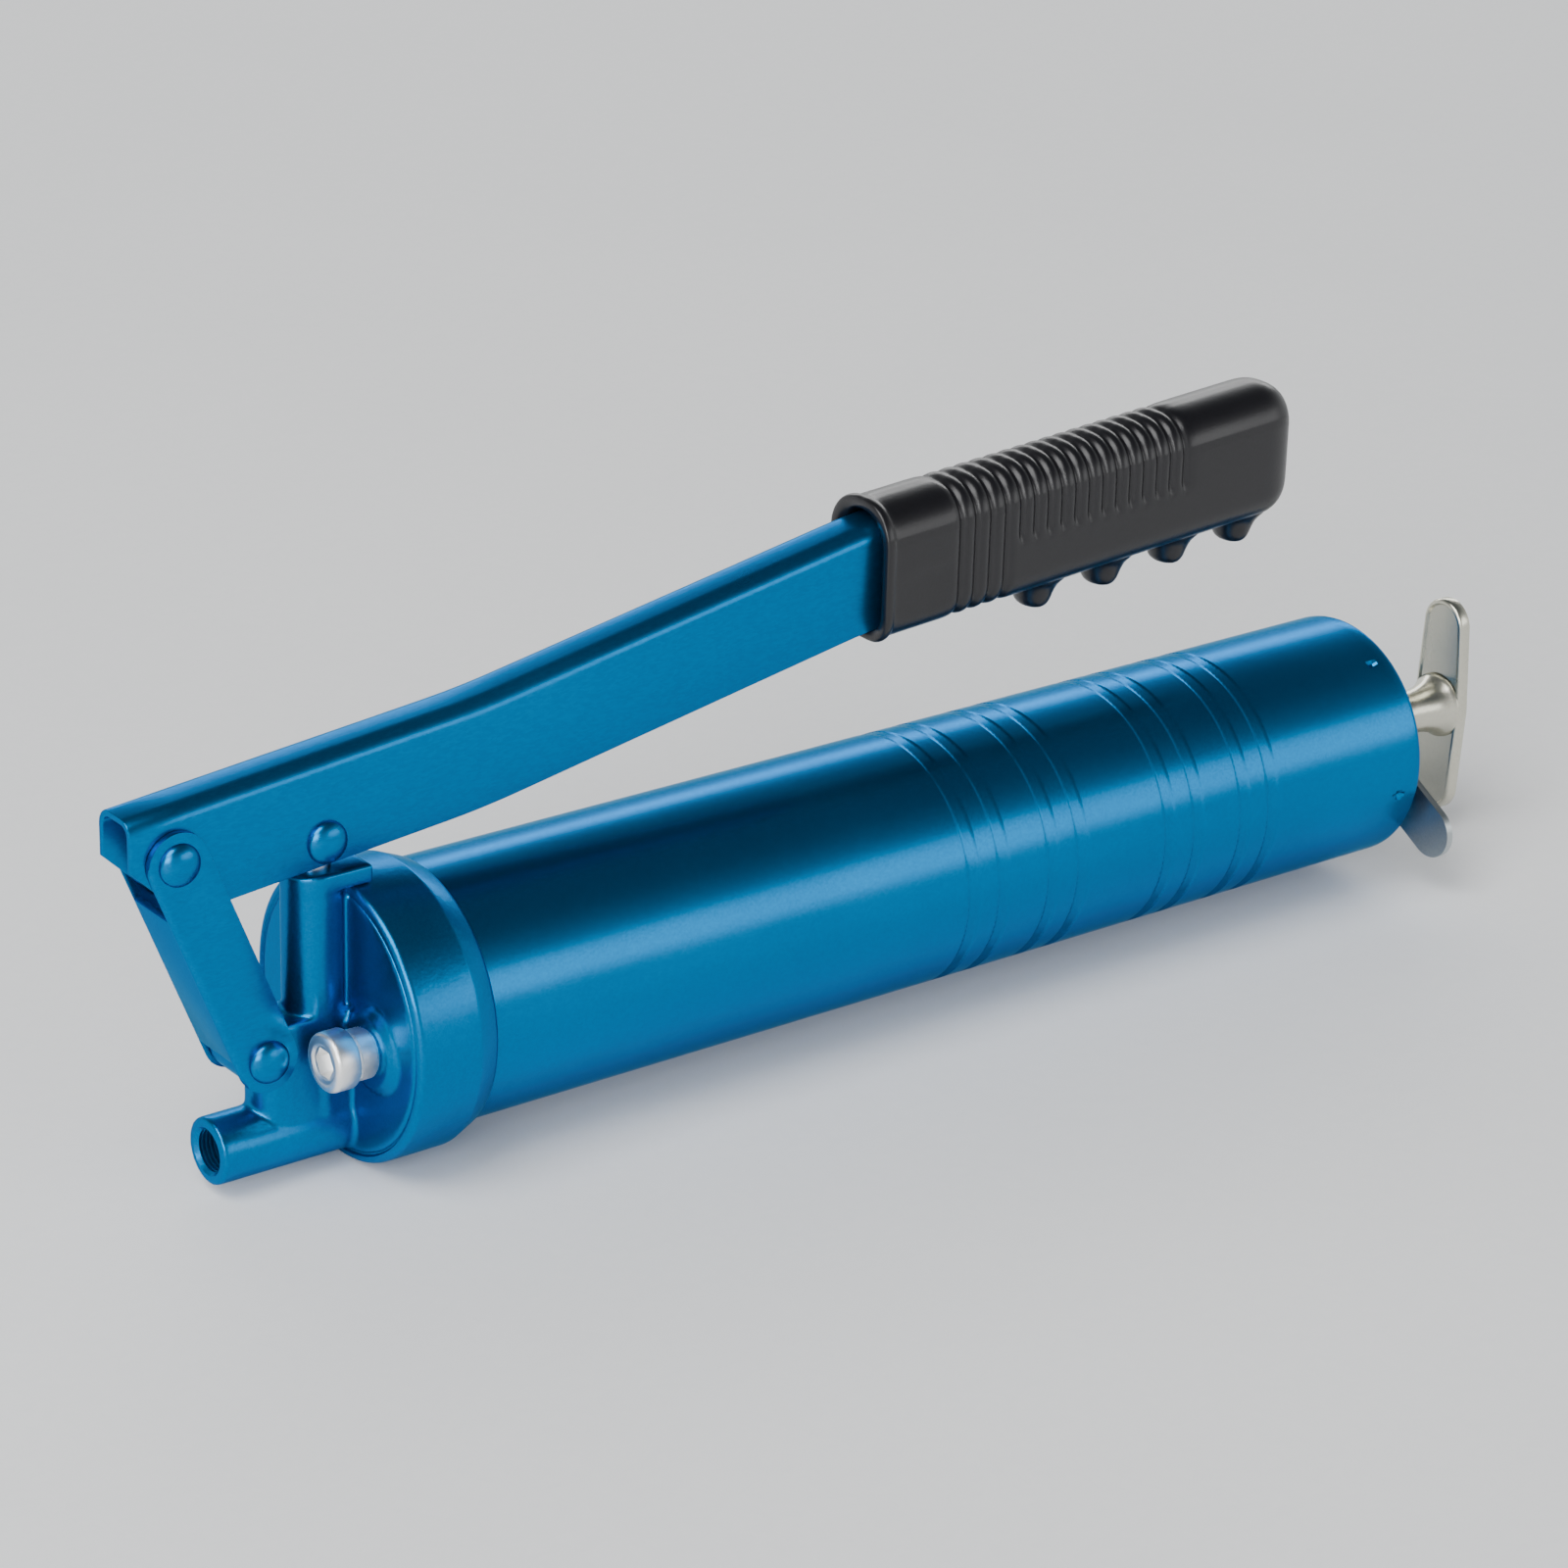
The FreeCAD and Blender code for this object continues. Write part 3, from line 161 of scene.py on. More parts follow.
world = bpy.data.worlds.new("studio_sky")
bpy.context.scene.world = world
world.use_nodes = True
sky = world.node_tree
direction = sky.nodes.new("ShaderNodeTexCoord")
split = sky.nodes.new("ShaderNodeSeparateXYZ")
fade = sky.nodes.new("ShaderNodeValToRGB")
HORIZON, ZENITH = (0.05, (0.92, 0.94, 0.95, 1)), (0.75, (0.07, 0.08, 0.09, 1))
for stop, (position, shade) in zip(fade.color_ramp.elements, (HORIZON, ZENITH)):
    stop.position = position
    stop.color = shade
sky.links.new(direction.outputs["Generated"], split.inputs[0])
sky.links.new(split.outputs["Z"], fade.inputs["Fac"])
sky.links.new(fade.outputs["Color"], sky.nodes["Background"].inputs["Color"])
sky.nodes["Background"].inputs["Strength"].default_value = 1.2

# %% [markdown]
# ## Shared effects
# Several finishes need the same things: a colour that varies like metal flake, a gloss that is
# uneven from handling, and a fine relief. Each is built once as a shader node group and placed in
# the materials with its own values. A group puts out only colours and values, and the shader
# itself stays in the material.

# %% Helpers for node groups
def new_effect(name, inputs, outputs):
    """An empty shader node group with named sockets, and its two end nodes."""
    group = bpy.data.node_groups.new(name, "ShaderNodeTree")
    for label, kind, value in inputs:
        socket = group.interface.new_socket(label, in_out="INPUT", socket_type=kind)
        socket.default_value = value
    for label, kind in outputs:
        group.interface.new_socket(label, in_out="OUTPUT", socket_type=kind)
    return group, group.nodes.new("NodeGroupInput"), group.nodes.new("NodeGroupOutput")


def chain(tree, *pairs):
    """Link sockets in pairs: from, to, from, to."""
    for source, target in zip(pairs[::2], pairs[1::2]):
        tree.links.new(source, target)


def noise(group, detail):
    """A noise texture with this much detail."""
    texture = group.nodes.new("ShaderNodeTexNoise")
    texture.inputs["Detail"].default_value = detail
    return texture


NUMBER, COLOUR, PLACE = "NodeSocketFloat", "NodeSocketColor", "NodeSocketVector"

# %% Flaked colour, handled gloss and fine relief
flaked_colour, given, out = new_effect(
    "flaked_colour",
    [("Place", PLACE, (0, 0, 0)), ("Deep", COLOUR, (0, 0, 0, 1)), ("Bright", COLOUR, (1, 1, 1, 1)),
     ("Flake Scale", NUMBER, 2500), ("Cloud Scale", NUMBER, 25)],
    [("Color", COLOUR)])
flakes = flaked_colour.nodes.new("ShaderNodeTexVoronoi")
clouds = noise(flaked_colour, 4)
share = flaked_colour.nodes.new("ShaderNodeMix")
share.inputs["Factor"].default_value = 0.35
flake_grey = flaked_colour.nodes.new("ShaderNodeSeparateColor")
tint = flaked_colour.nodes.new("ShaderNodeMix")
tint.data_type = "RGBA"
chain(flaked_colour,
      given.outputs["Place"], flakes.inputs["Vector"],
      given.outputs["Place"], clouds.inputs["Vector"],
      given.outputs["Flake Scale"], flakes.inputs["Scale"],
      given.outputs["Cloud Scale"], clouds.inputs["Scale"],
      flakes.outputs["Color"], flake_grey.inputs["Color"],
      clouds.outputs["Fac"], share.inputs["A"], flake_grey.outputs["Red"], share.inputs["B"],
      share.outputs["Result"], tint.inputs["Factor"],
      given.outputs["Deep"], tint.inputs["A"], given.outputs["Bright"], tint.inputs["B"],
      tint.outputs["Result"], out.inputs["Color"])

handled_gloss, given, out = new_effect(
    "handled_gloss",
    [("Place", PLACE, (0, 0, 0)), ("Smooth", NUMBER, 0.2), ("Rough", NUMBER, 0.4),
     ("Scale", NUMBER, 30)],
    [("Roughness", NUMBER)])
smears = noise(handled_gloss, 3)
smears.inputs["Distortion"].default_value = 0.2
spread = handled_gloss.nodes.new("ShaderNodeMapRange")
spread.inputs["From Min"].default_value = 0.1
spread.inputs["From Max"].default_value = 0.9
chain(handled_gloss,
      given.outputs["Place"], smears.inputs["Vector"],
      given.outputs["Scale"], smears.inputs["Scale"],
      smears.outputs["Fac"], spread.inputs["Value"],
      given.outputs["Smooth"], spread.inputs["To Min"],
      given.outputs["Rough"], spread.inputs["To Max"],
      spread.outputs["Result"], out.inputs["Roughness"])

fine_relief, given, out = new_effect(
    "fine_relief",
    [("Place", PLACE, (0, 0, 0)), ("Wave Scale", NUMBER, 300), ("Grain Scale", NUMBER, 2000),
     ("Grain Share", NUMBER, 0.4)],
    [("Height", NUMBER)])
waves = noise(fine_relief, 2)
grain = noise(fine_relief, 3)
height = fine_relief.nodes.new("ShaderNodeMix")
chain(fine_relief,
      given.outputs["Place"], waves.inputs["Vector"],
      given.outputs["Place"], grain.inputs["Vector"],
      given.outputs["Wave Scale"], waves.inputs["Scale"],
      given.outputs["Grain Scale"], grain.inputs["Scale"],
      given.outputs["Grain Share"], height.inputs["Factor"],
      waves.outputs["Fac"], height.inputs["A"], grain.outputs["Fac"], height.inputs["B"],
      height.outputs["Result"], out.inputs["Height"])
print("effects:", [g.name for g in bpy.data.node_groups if g.type == "SHADER"])

# %% [markdown]
# ## Finishes
# Every finish is the same small network: object coordinates go through the three effects into one
# Principled shader. What makes one blue enamel and another rubber is the numbers. The mapping can
# stretch the pattern along one axis, which turns grain into the fine lines of turned or ground
# steel.

# %% One finish
finishes = {}


def finish(name, deep, bright, metal, gloss, relief, flake=2500, clouds=25, stretch=(1, 1, 1),
           **fixed):
    """A material from linear colours, metallic, gloss and relief.

    Gloss is (smooth, rough, scale) and relief (depth in millimetres, wave, grain, grain's share).
    """
    material = bpy.data.materials.new(name)
    material.use_nodes = True
    tree = material.node_tree
    shader = tree.nodes["Principled BSDF"]
    shader.inputs["Metallic"].default_value = metal
    for label, value in fixed.items():
        shader.inputs[label.replace("_", " ")].default_value = value
    place = tree.nodes.new("ShaderNodeTexCoord")
    mapping = tree.nodes.new("ShaderNodeMapping")
    mapping.inputs["Scale"].default_value = stretch
    tree.links.new(place.outputs["Object"], mapping.inputs["Vector"])

    def effect(group, **values):
        """One of the shared effects, placed in this material with its values."""
        node = tree.nodes.new("ShaderNodeGroup")
        node.node_tree = group
        tree.links.new(mapping.outputs["Vector"], node.inputs["Place"])
        for label, value in values.items():
            node.inputs[label.replace("_", " ")].default_value = value
        return node

    smooth, rough, patches = gloss
    depth, wave, grain, share = relief
    colour = effect(flaked_colour, Deep=(*deep, 1), Bright=(*bright, 1), Flake_Scale=flake,
                    Cloud_Scale=clouds)
    shine = effect(handled_gloss, Smooth=smooth, Rough=rough, Scale=patches)
    surface = effect(fine_relief, Wave_Scale=wave, Grain_Scale=grain, Grain_Share=share)
    bump = tree.nodes.new("ShaderNodeBump")
    bump.inputs["Distance"].default_value = depth * MM
    bump.inputs["Strength"].default_value = 1.0
    chain(tree, colour.outputs["Color"], shader.inputs["Base Color"],
          shine.outputs["Roughness"], shader.inputs["Roughness"],
          surface.outputs["Height"], bump.inputs["Height"],
          bump.outputs["Normal"], shader.inputs["Normal"])
    finishes[name] = material
    return material


# %% [markdown]
# ### Blue enamel
# The barrel, the casting and the pressed sheet have the same metallic blue, over three different
# grounds. The barrel is drawn tube and nearly smooth, the casting keeps a sand-like unevenness
# under its paint, and the sheet has long, faint rolling marks.

# %% Enamel on three grounds
BLUE_DEEP, BLUE_BRIGHT = (0.0005, 0.125, 0.32), (0.0015, 0.185, 0.44)
ENAMEL = {"Coat_Weight": 0.05, "Coat_Roughness": 0.2, "Specular_Tint": (0.03, 0.50, 0.72, 1)}
ENAMEL_METAL = 0.94
finish("blue_paint_barrel", BLUE_DEEP, BLUE_BRIGHT, ENAMEL_METAL, (0.22, 0.28, 18),
       (0.02, 160, 1500, 0.35), **ENAMEL)
finish("blue_paint_casting", BLUE_DEEP, BLUE_BRIGHT, ENAMEL_METAL, (0.25, 0.36, 40),
       (0.09, 240, 1100, 0.4), **ENAMEL)
finish("blue_paint_sheet", BLUE_DEEP, BLUE_BRIGHT, ENAMEL_METAL, (0.24, 0.34, 25),
       (0.04, 110, 1300, 0.35), stretch=(0.35, 1, 1), **ENAMEL)
print("enamel colours, linear:", BLUE_DEEP, BLUE_BRIGHT)

# %% [markdown]
# ### Rubber, nylon and bare metals
# The grip is a semi-gloss moulded rubber with a fine spark-eroded grain. Ground and polished
# steel differ in gloss and in how far their lines are stretched, and the filler valve is satin
# nickel.

# %% Other finishes
finish("black_grip", (0.003, 0.0027, 0.0036), (0.007, 0.0064, 0.0085), 0.0,
       (0.26, 0.36, 35), (0.04, 500, 2600, 0.6), Specular_IOR_Level=0.5)
finish("black_rubber", (0.012, 0.012, 0.012), (0.03, 0.03, 0.03), 0.0,
       (0.6, 0.8, 60), (0.08, 400, 2000, 0.6))
finish("ground_steel", (0.46, 0.46, 0.47), (0.60, 0.60, 0.61), 1.0,
       (0.18, 0.28, 60), (0.006, 500, 3000, 0.6), stretch=(8, 1, 1))
finish("polished_steel", (0.54, 0.53, 0.44), (0.68, 0.66, 0.56), 1.0,
       (0.20, 0.32, 45), (0.03, 120, 1500, 0.25))
finish("nickel_valve", (0.88, 0.88, 0.87), (0.96, 0.96, 0.95), 1.0,
       (0.30, 0.42, 90), (0.04, 600, 2600, 0.5), stretch=(4, 1, 1))
finish("zinc_steel", (0.36, 0.40, 0.41), (0.50, 0.53, 0.54), 1.0,
       (0.28, 0.42, 60), (0.05, 180, 1800, 0.4), clouds=70)
finish("spring_wire", (0.30, 0.30, 0.31), (0.45, 0.45, 0.46), 1.0,
       (0.28, 0.42, 150), (0.02, 800, 3000, 0.5))
finish("white_nylon", (0.66, 0.65, 0.60), (0.78, 0.77, 0.72), 0.0,
       (0.4, 0.5, 60), (0.03, 300, 1800, 0.4))
print("finishes:", sorted(finishes))

# %% [markdown]
# ## Floor
# The floor is one wide pale sheet under the gun, and it isn't part of the object. It has a faint
# unevenness, like painted board, so that it isn't a flat colour.

# %% Pale floor
FLOOR_SIZE, FLOOR_GAP = 12, 0.3 * MM
bpy.ops.object.select_all(action="DESELECT")
bpy.ops.mesh.primitive_plane_add(size=FLOOR_SIZE, location=(0, 0, cad_low.z - FLOOR_GAP))
floor = bpy.context.active_object
floor.name = "studio_floor"
bpy.ops.object.transform_apply(location=True, rotation=True, scale=True)
floor.data.materials.append(
    finish("pale_floor", (0.88, 0.885, 0.89), (0.92, 0.92, 0.92), 0.0,
           (0.6, 0.75, 8), (0.05, 60, 500, 0.4), flake=400, clouds=6))
print("floor at", round(floor.data.vertices[0].co.z / MM, 2), "mm")

# %% [markdown]
# ## Workshop helpers
# Pieces are modelled with the same tools as by hand: a primitive is added, faces or edges are
# picked, and an edit-mode operator shapes them. An operator acts on all that is selected, so
# `only` deselects everything else first, and `pick` selects by place and direction.

# %% Select, edit and apply
def only(piece):
    """Make piece the one selected and active object."""
    bpy.ops.object.select_all(action="DESELECT")
    piece.select_set(True)
    bpy.context.view_layer.objects.active = piece
    return piece


def named(name):
    """Name the primitive just added and put its place into its mesh."""
    piece = bpy.context.active_object
    only(piece)
    piece.name = piece.data.name = name
    bpy.ops.object.transform_apply(location=True, rotation=True, scale=True)
    return piece


def pick(piece, kind, test):
    """In edit mode, select what test(middle, direction) accepts: VERT, EDGE or FACE."""
    bpy.ops.mesh.select_mode(type=kind)
    bpy.ops.mesh.select_all(action="DESELECT")
    bpy.ops.object.mode_set(mode="OBJECT")
    mesh = piece.data
    points = mesh.vertices
    if kind == "VERT":
        for point in points:
            point.select = test(point.co, point.normal)
    elif kind == "EDGE":
        for edge in mesh.edges:
            a, b = (points[i].co for i in edge.vertices)
            edge.select = test((a + b) / 2, (b - a).normalized())
    else:
        for face in mesh.polygons:
            face.select = test(face.center, face.normal)
    bpy.ops.object.mode_set(mode="EDIT")


def editing(piece):
    """Open piece in edit mode."""
    only(piece)
    bpy.ops.object.mode_set(mode="EDIT")


def done():
    """Leave edit mode."""
    bpy.ops.object.mode_set(mode="OBJECT")


DOUBLES, SLIVERS = 0.004 * MM, 0.002 * MM


def seal(piece):
    """Merge doubles, turn the faces outwards and leave edit mode."""
    bpy.ops.mesh.select_mode(type="VERT")
    bpy.ops.mesh.select_all(action="SELECT")
    bpy.ops.mesh.remove_doubles(threshold=DOUBLES)
    bpy.ops.mesh.normals_make_consistent(inside=False)
    done()
    return piece


def applied(piece, kind, **settings):
    """Add a modifier with these settings and apply it."""
    only(piece)
    modifier = piece.modifiers.new(kind.lower(), kind)
    for label, value in settings.items():
        setattr(modifier, label, value)
    bpy.ops.object.modifier_apply(modifier=modifier.name)
    return piece


def softened(piece, width, segments, angle):
    """Break the edges sharper than angle with a small bevel, in millimetres and degrees."""
    return applied(piece, "BEVEL", width=width * MM, segments=segments, limit_method="ANGLE",
                   angle_limit=math.radians(angle))


def cut_away(piece, tool):
    """Cut tool's shape out of piece and throw the tool away."""
    applied(piece, "BOOLEAN", operation="DIFFERENCE", solver="EXACT", object=tool)
    bpy.data.objects.remove(tool)
    return piece


def copy_of(piece, name, shift):
    """A copy of piece with its own mesh, moved by shift."""
    only(piece)
    bpy.ops.object.duplicate()
    bpy.context.active_object.location = shift
    return named(name)


def merged(name, pieces):
    """Join several pieces into one object."""
    bpy.ops.object.select_all(action="DESELECT")
    for piece in pieces:
        piece.select_set(True)
    bpy.context.view_layer.objects.active = pieces[0]
    bpy.ops.object.join()
    pieces[0].name = pieces[0].data.name = name
    return pieces[0]


# %% [markdown]
# Every finished piece is shaded smooth up to an angle, gets its finish, and is tied to the body
# that it moves with. A piece can stand for CAD nodes, which are then not shown.

# %% Fit a piece to the frame
def fitted(piece, body, slot, stands_for=(), crease=32):
    """Finish piece and tie it to its body; edges sharper than crease degrees stay sharp."""
    editing(piece)
    bpy.ops.mesh.select_all(action="SELECT")
    bpy.ops.mesh.dissolve_degenerate(threshold=SLIVERS)
    done()
    bpy.ops.object.shade_smooth_by_angle(angle=math.radians(crease))
    piece.data.materials.clear()
    piece.data.materials.append(finishes[slot])
    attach(piece, body)
    if stands_for:
        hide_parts(*stands_for)
    triangles = sum(len(face.vertices) - 2 for face in piece.data.polygons)
    print(piece.name, "rides", body, "with", triangles, "triangles")
    return piece


# %% [markdown]
# ## A lathe
# The barrel, the skirt, the rivets and the valve are round. `turned` works like a lathe: a circle
# is added, its edge is extruded from place to place along the axis, and each new ring is scaled to
# its radius. An outline that ends where it began gives a closed wall, and one that ends near the
# axis gives a closed solid.

# %% Turn an outline
AXES = {
    "X": (ALONG, (0, math.pi / 2, 0), lambda k: (1, k, k)),
    "Y": (SIDEWAYS, (math.pi / 2, 0, 0), lambda k: (k, 1, k)),
    "Z": (UP, (0, 0, 0), lambda k: (k, k, 1)),
}
POLE = 0.001


def turned(name, middle, outline, sides=96, axis="X"):
    """A turned piece about the axis through middle.

    Its outline is a list of (place along the axis, radius), in millimetres.
    """
    run, turn, scale = AXES[axis]
    foot = Vector(middle) - run * Vector(middle).dot(run)
    first, radius = outline[0]
    bpy.ops.object.select_all(action="DESELECT")
    bpy.ops.mesh.primitive_circle_add(vertices=sides, radius=radius * MM,
                                      location=foot + run * first * MM, rotation=turn)
    piece = named(name)
    editing(piece)
    bpy.ops.mesh.select_all(action="SELECT")
    for (a, ra), (b, rb) in zip(outline, outline[1:]):
        bpy.ops.mesh.extrude_edges_move(TRANSFORM_OT_translate={"value": run * (b - a) * MM})
        if rb != ra:
            bpy.ops.transform.resize(value=scale(rb / ra), center_override=foot + run * b * MM)
    return seal(piece)


def arc(centre, radius, start, end, steps):
    """Points of a round corner, for an outline: angles in degrees from the axis towards outside."""
    found = []
    for step in range(steps + 1):
        angle = math.radians(start + (end - start) * step / steps)
        found.append((centre[0] + radius * math.cos(angle), centre[1] + radius * math.sin(angle)))
    return found


# %% [markdown]
# Pieces that aren't turned start from a flat blank instead: a disc, or a rectangle across X.

# %% Flat blanks
def round_blank(name, centre, radius, axis, sides=64):
    """A disc across an axis, open in edit mode: centre in metres, radius in millimetres."""
    bpy.ops.object.select_all(action="DESELECT")
    bpy.ops.mesh.primitive_circle_add(vertices=sides, radius=radius * MM, fill_type="NGON",
                                      location=centre, rotation=AXES[axis][1])
    piece = named(name)
    editing(piece)
    return piece


def oblong_blank(name, centre, wide, high):
    """A rectangle across X, open in edit mode: centre in metres, sizes in millimetres."""
    bpy.ops.object.select_all(action="DESELECT")
    bpy.ops.mesh.primitive_plane_add(size=1, rotation=AXES["X"][1], location=centre)
    piece = named(name)
    editing(piece)
    bpy.ops.mesh.select_all(action="SELECT")
    bpy.ops.transform.resize(value=(1, wide * MM, high * MM), center_override=centre)
    return piece


# %% [markdown]
# ## Barrel
# The barrel is a drawn tube. Two groups of knurled bands give the hand a hold when the barrel is
# unscrewed, its rear edge is rolled in, and two small stake marks hold the rear cap. The knurl is
# real geometry: within a band the rings are close together, and every second point is lifted and
# the others are sunk, row against row, which gives small diamonds.

# %% Outline of the barrel
AXIS = Vector((0, 0, AXIS_Z))
BARREL_MM, END_MM = BARREL_R / MM, BARREL_END / MM
BARREL_FRONT, BARREL_WALL, BARREL_SIDES = -38.0, 1.2, 256
BAND_FIRST, BAND_STEP, PAIR_STEP, GROUP_STEP = -178.1, 8.5, 22.5, 56.6
BAND_HALF, BAND_ROWS, BAND_SUNK = 1.6, 6, 0.06
BAND_SHOULDERS = (0.5, 0.25)
STAKE_RINGS = (-303.0, -304.0, -305.0, -306.0, -307.0, -308.0, -309.0)
ROLL_RADIUS = 1.6
band_middles = [BAND_FIRST - BAND_STEP * band - PAIR_STEP * pair - GROUP_STEP * group
                for group in (0, 1) for pair in (0, 1) for band in (0, 1)]
outline = [(BARREL_FRONT, BARREL_MM - BARREL_WALL), (BARREL_FRONT, BARREL_MM)]
for middle in band_middles:
    outline += [(middle + BAND_HALF + shoulder, BARREL_MM) for shoulder in BAND_SHOULDERS]
    outline += [(middle + BAND_HALF - row * 2 * BAND_HALF / (BAND_ROWS - 1), BARREL_MM - BAND_SUNK)
                for row in range(BAND_ROWS)]
    outline += [(middle - BAND_HALF - shoulder, BARREL_MM) for shoulder in BAND_SHOULDERS[::-1]]
outline += [(place, BARREL_MM) for place in STAKE_RINGS]
outline += arc((END_MM + ROLL_RADIUS, BARREL_MM - ROLL_RADIUS), ROLL_RADIUS, 90, 180, 6)
outline += [(END_MM, BARREL_MM - 2.4), (END_MM + 0.9, BARREL_MM - 2.6),
            (END_MM + BARREL_WALL, BARREL_MM - BARREL_WALL)]
barrel = turned("barrel", AXIS, outline + outline[:1], BARREL_SIDES)
print("barrel has", len(outline), "rings")

# %% Raise the knurl and press the stake marks
KNURL_STEPS = ((1, 0.05), (0, -0.13))
STAKES, STAKE_REACH, STAKE_PRESS = ((-306.5, 57.0), (-306.0, -10.0)), 1.05, 0.975


def side_number(point):
    """Which of the barrel's sides point stands on, counted round the axis."""
    return round(math.atan2(point.z - AXIS_Z, point.y) / (2 * math.pi / BARREL_SIDES))


def in_knurl(point, raised):
    """Whether point is on a band, and there one of those that are raised, or one that is sunk."""
    for middle in band_middles:
        row = (middle + BAND_HALF - point.x / MM) * (BAND_ROWS - 1) / (2 * BAND_HALF)
        if -0.3 < row < BAND_ROWS - 0.7 and (point - AXIS).yz.length > BARREL_R - 0.5 * MM:
            return (side_number(point) + round(row)) % 2 == raised
    return False


editing(barrel)
for raised, lift in KNURL_STEPS:
    pick(barrel, "VERT", lambda point, _: in_knurl(point, raised))
    factor = 1 + lift / BARREL_MM
    bpy.ops.transform.resize(value=(1, factor, factor), center_override=AXIS)
for place, degrees in STAKES:
    turn = math.radians(degrees)
    spot = AXIS + Vector((place * MM, BARREL_R * math.cos(turn), BARREL_R * math.sin(turn)))
    pick(barrel, "VERT", lambda point, _: (point - spot).length < STAKE_REACH * MM)
    bpy.ops.transform.resize(value=(1, STAKE_PRESS, STAKE_PRESS), center_override=AXIS)
done()
fitted(barrel, "head_and_barrel", "blue_paint_barrel", ["barrel_tube"], crease=24)

# %% [markdown]
# ## Skirt of the head
# The rear of the pump head is a turned skirt that the barrel screws into: a rounded front edge, a
# straight stretch and a tapered end. It is a lathe piece, so that its reflections stay clean.

# %% Turn the skirt
SKIRT_MM, SKIRT_END_MM = SKIRT_R / MM, SKIRT_END / MM
FACE_MM, SKIRT_ROUND, SKIRT_GAP = -31.7, 1.5, 0.1
outline = [(FACE_MM - 6.0, BARREL_MM + SKIRT_GAP), (FACE_MM - 0.45, BARREL_MM + SKIRT_GAP),
           (FACE_MM - 0.45, BARREL_MM + 1.25), (FACE_MM, BARREL_MM + 1.6)]
outline += arc((FACE_MM - SKIRT_ROUND, SKIRT_MM - SKIRT_ROUND), SKIRT_ROUND, 20, 90, 7)
outline += [(SKIRT_END_MM + 5.9, SKIRT_MM), (SKIRT_END_MM + 5.5, SKIRT_MM - 0.06),
            (SKIRT_END_MM + 5.0, SKIRT_MM - 0.25), (SKIRT_END_MM + 0.9, BARREL_MM + 1.35),
            (SKIRT_END_MM + 0.3, BARREL_MM + 0.95), (SKIRT_END_MM, BARREL_MM + 0.6),
            (SKIRT_END_MM, BARREL_MM + SKIRT_GAP)]
skirt = turned("head_skirt", AXIS, outline + outline[:1], sides=160)
fitted(skirt, "head_and_barrel", "blue_paint_casting", crease=35)

# %% [markdown]
# ## Front casting
# In front of the skirt the head is one rough casting: the pump cylinder and the web behind it, the
# collar at its top, the lug with the eye for the lower pivot, the outlet spout and the raised seat
# of the filler valve. Modelling its blended corners by hand would take long. Here the bodies are
# added as plain blocks and cylinders, run into one skin by a voxel remesh, and smoothed, which
# rounds the corners as a mould does. The outlet is then cut as by a drill, and its edge stays
# sharp.

# %% Bodies of the casting
PUMP_X, PUMP_R, PUMP_TOP = -25.9, 6.5, 57.9
COLLAR_LOW, COLLAR_R, COLLAR_REACH = 53.9, 6.6, 11.0
WEB_HALF, WEB_TOP = 4.2, 55.9
LUG_FRONT, LUG_HALF, LUG_TOP = -16.5, 6.2, 26.5
EYE_X, EYE_Z, EYE_R, EYE_LOW = -10.5, 20.8, 6.0, 14.8
SPOUT_R, SPOUT_END = 7.3, -0.1
VALVE_Y, VALVE_Z = 14.0, 20.4
ROOT = 1  # how far the bodies reach into the face


def block(name, low, high):
    """A box between two corners in millimetres."""
    low, high = Vector(low) * MM, Vector(high) * MM
    bpy.ops.object.select_all(action="DESELECT")
    bpy.ops.mesh.primitive_cube_add(size=1, location=(low + high) / 2, scale=high - low)
    return named(name)


def post(name, middle, axis, start, end, radius, sides=64):
    """A cylinder along an axis, in millimetres."""
    run, turn, _ = AXES[axis]
    foot = Vector(middle) - run * Vector(middle).dot(run)
    bpy.ops.object.select_all(action="DESELECT")
    bpy.ops.mesh.primitive_cylinder_add(
        vertices=sides, radius=radius * MM, depth=abs(end - start) * MM,
        location=(foot + run * (start + end) / 2) * MM, rotation=turn)
    return named(name)


AXIS_MM = (0, 0, AXIS_Z / MM)
lugs = [
    post("face", AXIS_MM, "X", FACE_MM - 4.0, FACE_MM, BARREL_MM + 0.95, sides=128),
    post("cylinder", (PUMP_X, 0, 0), "Z", 0.0, PUMP_TOP, PUMP_R),
    block("web", (FACE_MM - ROOT, -WEB_HALF, 0), (PUMP_X, WEB_HALF, WEB_TOP)),
    post("collar", (PUMP_X, 0, 0), "Z", COLLAR_LOW, PUMP_TOP, COLLAR_R),
    block("collar_arm", (PUMP_X - COLLAR_REACH, -PUMP_R, COLLAR_LOW), (PUMP_X, PUMP_R, PUMP_TOP)),
    block("lug", (FACE_MM - ROOT, -LUG_HALF, 0), (LUG_FRONT, LUG_HALF, LUG_TOP)),
    post("lug_front", (LUG_FRONT, 0, 0), "Z", 0.0, LUG_TOP, LUG_HALF),
    post("eye", (EYE_X, 0, EYE_Z), "Y", -LUG_HALF, LUG_HALF, EYE_R),
    block("eye_root", (LUG_FRONT, -LUG_HALF, EYE_LOW), (EYE_X, LUG_HALF, LUG_TOP)),
    post("spout", (0, 0, 0), "X", FACE_MM - ROOT, SPOUT_END, SPOUT_R, sides=96),
    post("valve_seat", (0, VALVE_Y, VALVE_Z), "X", FACE_MM - ROOT, FACE_MM + 1.1, 9.3),
    post("valve_seat_top", (0, VALVE_Y, VALVE_Z), "X", FACE_MM - ROOT, FACE_MM + 1.8, 7.9),
]
VOXEL, SMOOTHING = 0.5, 9
casting = merged("head_casting", lugs)
applied(casting, "REMESH", mode="VOXEL", voxel_size=VOXEL * MM)
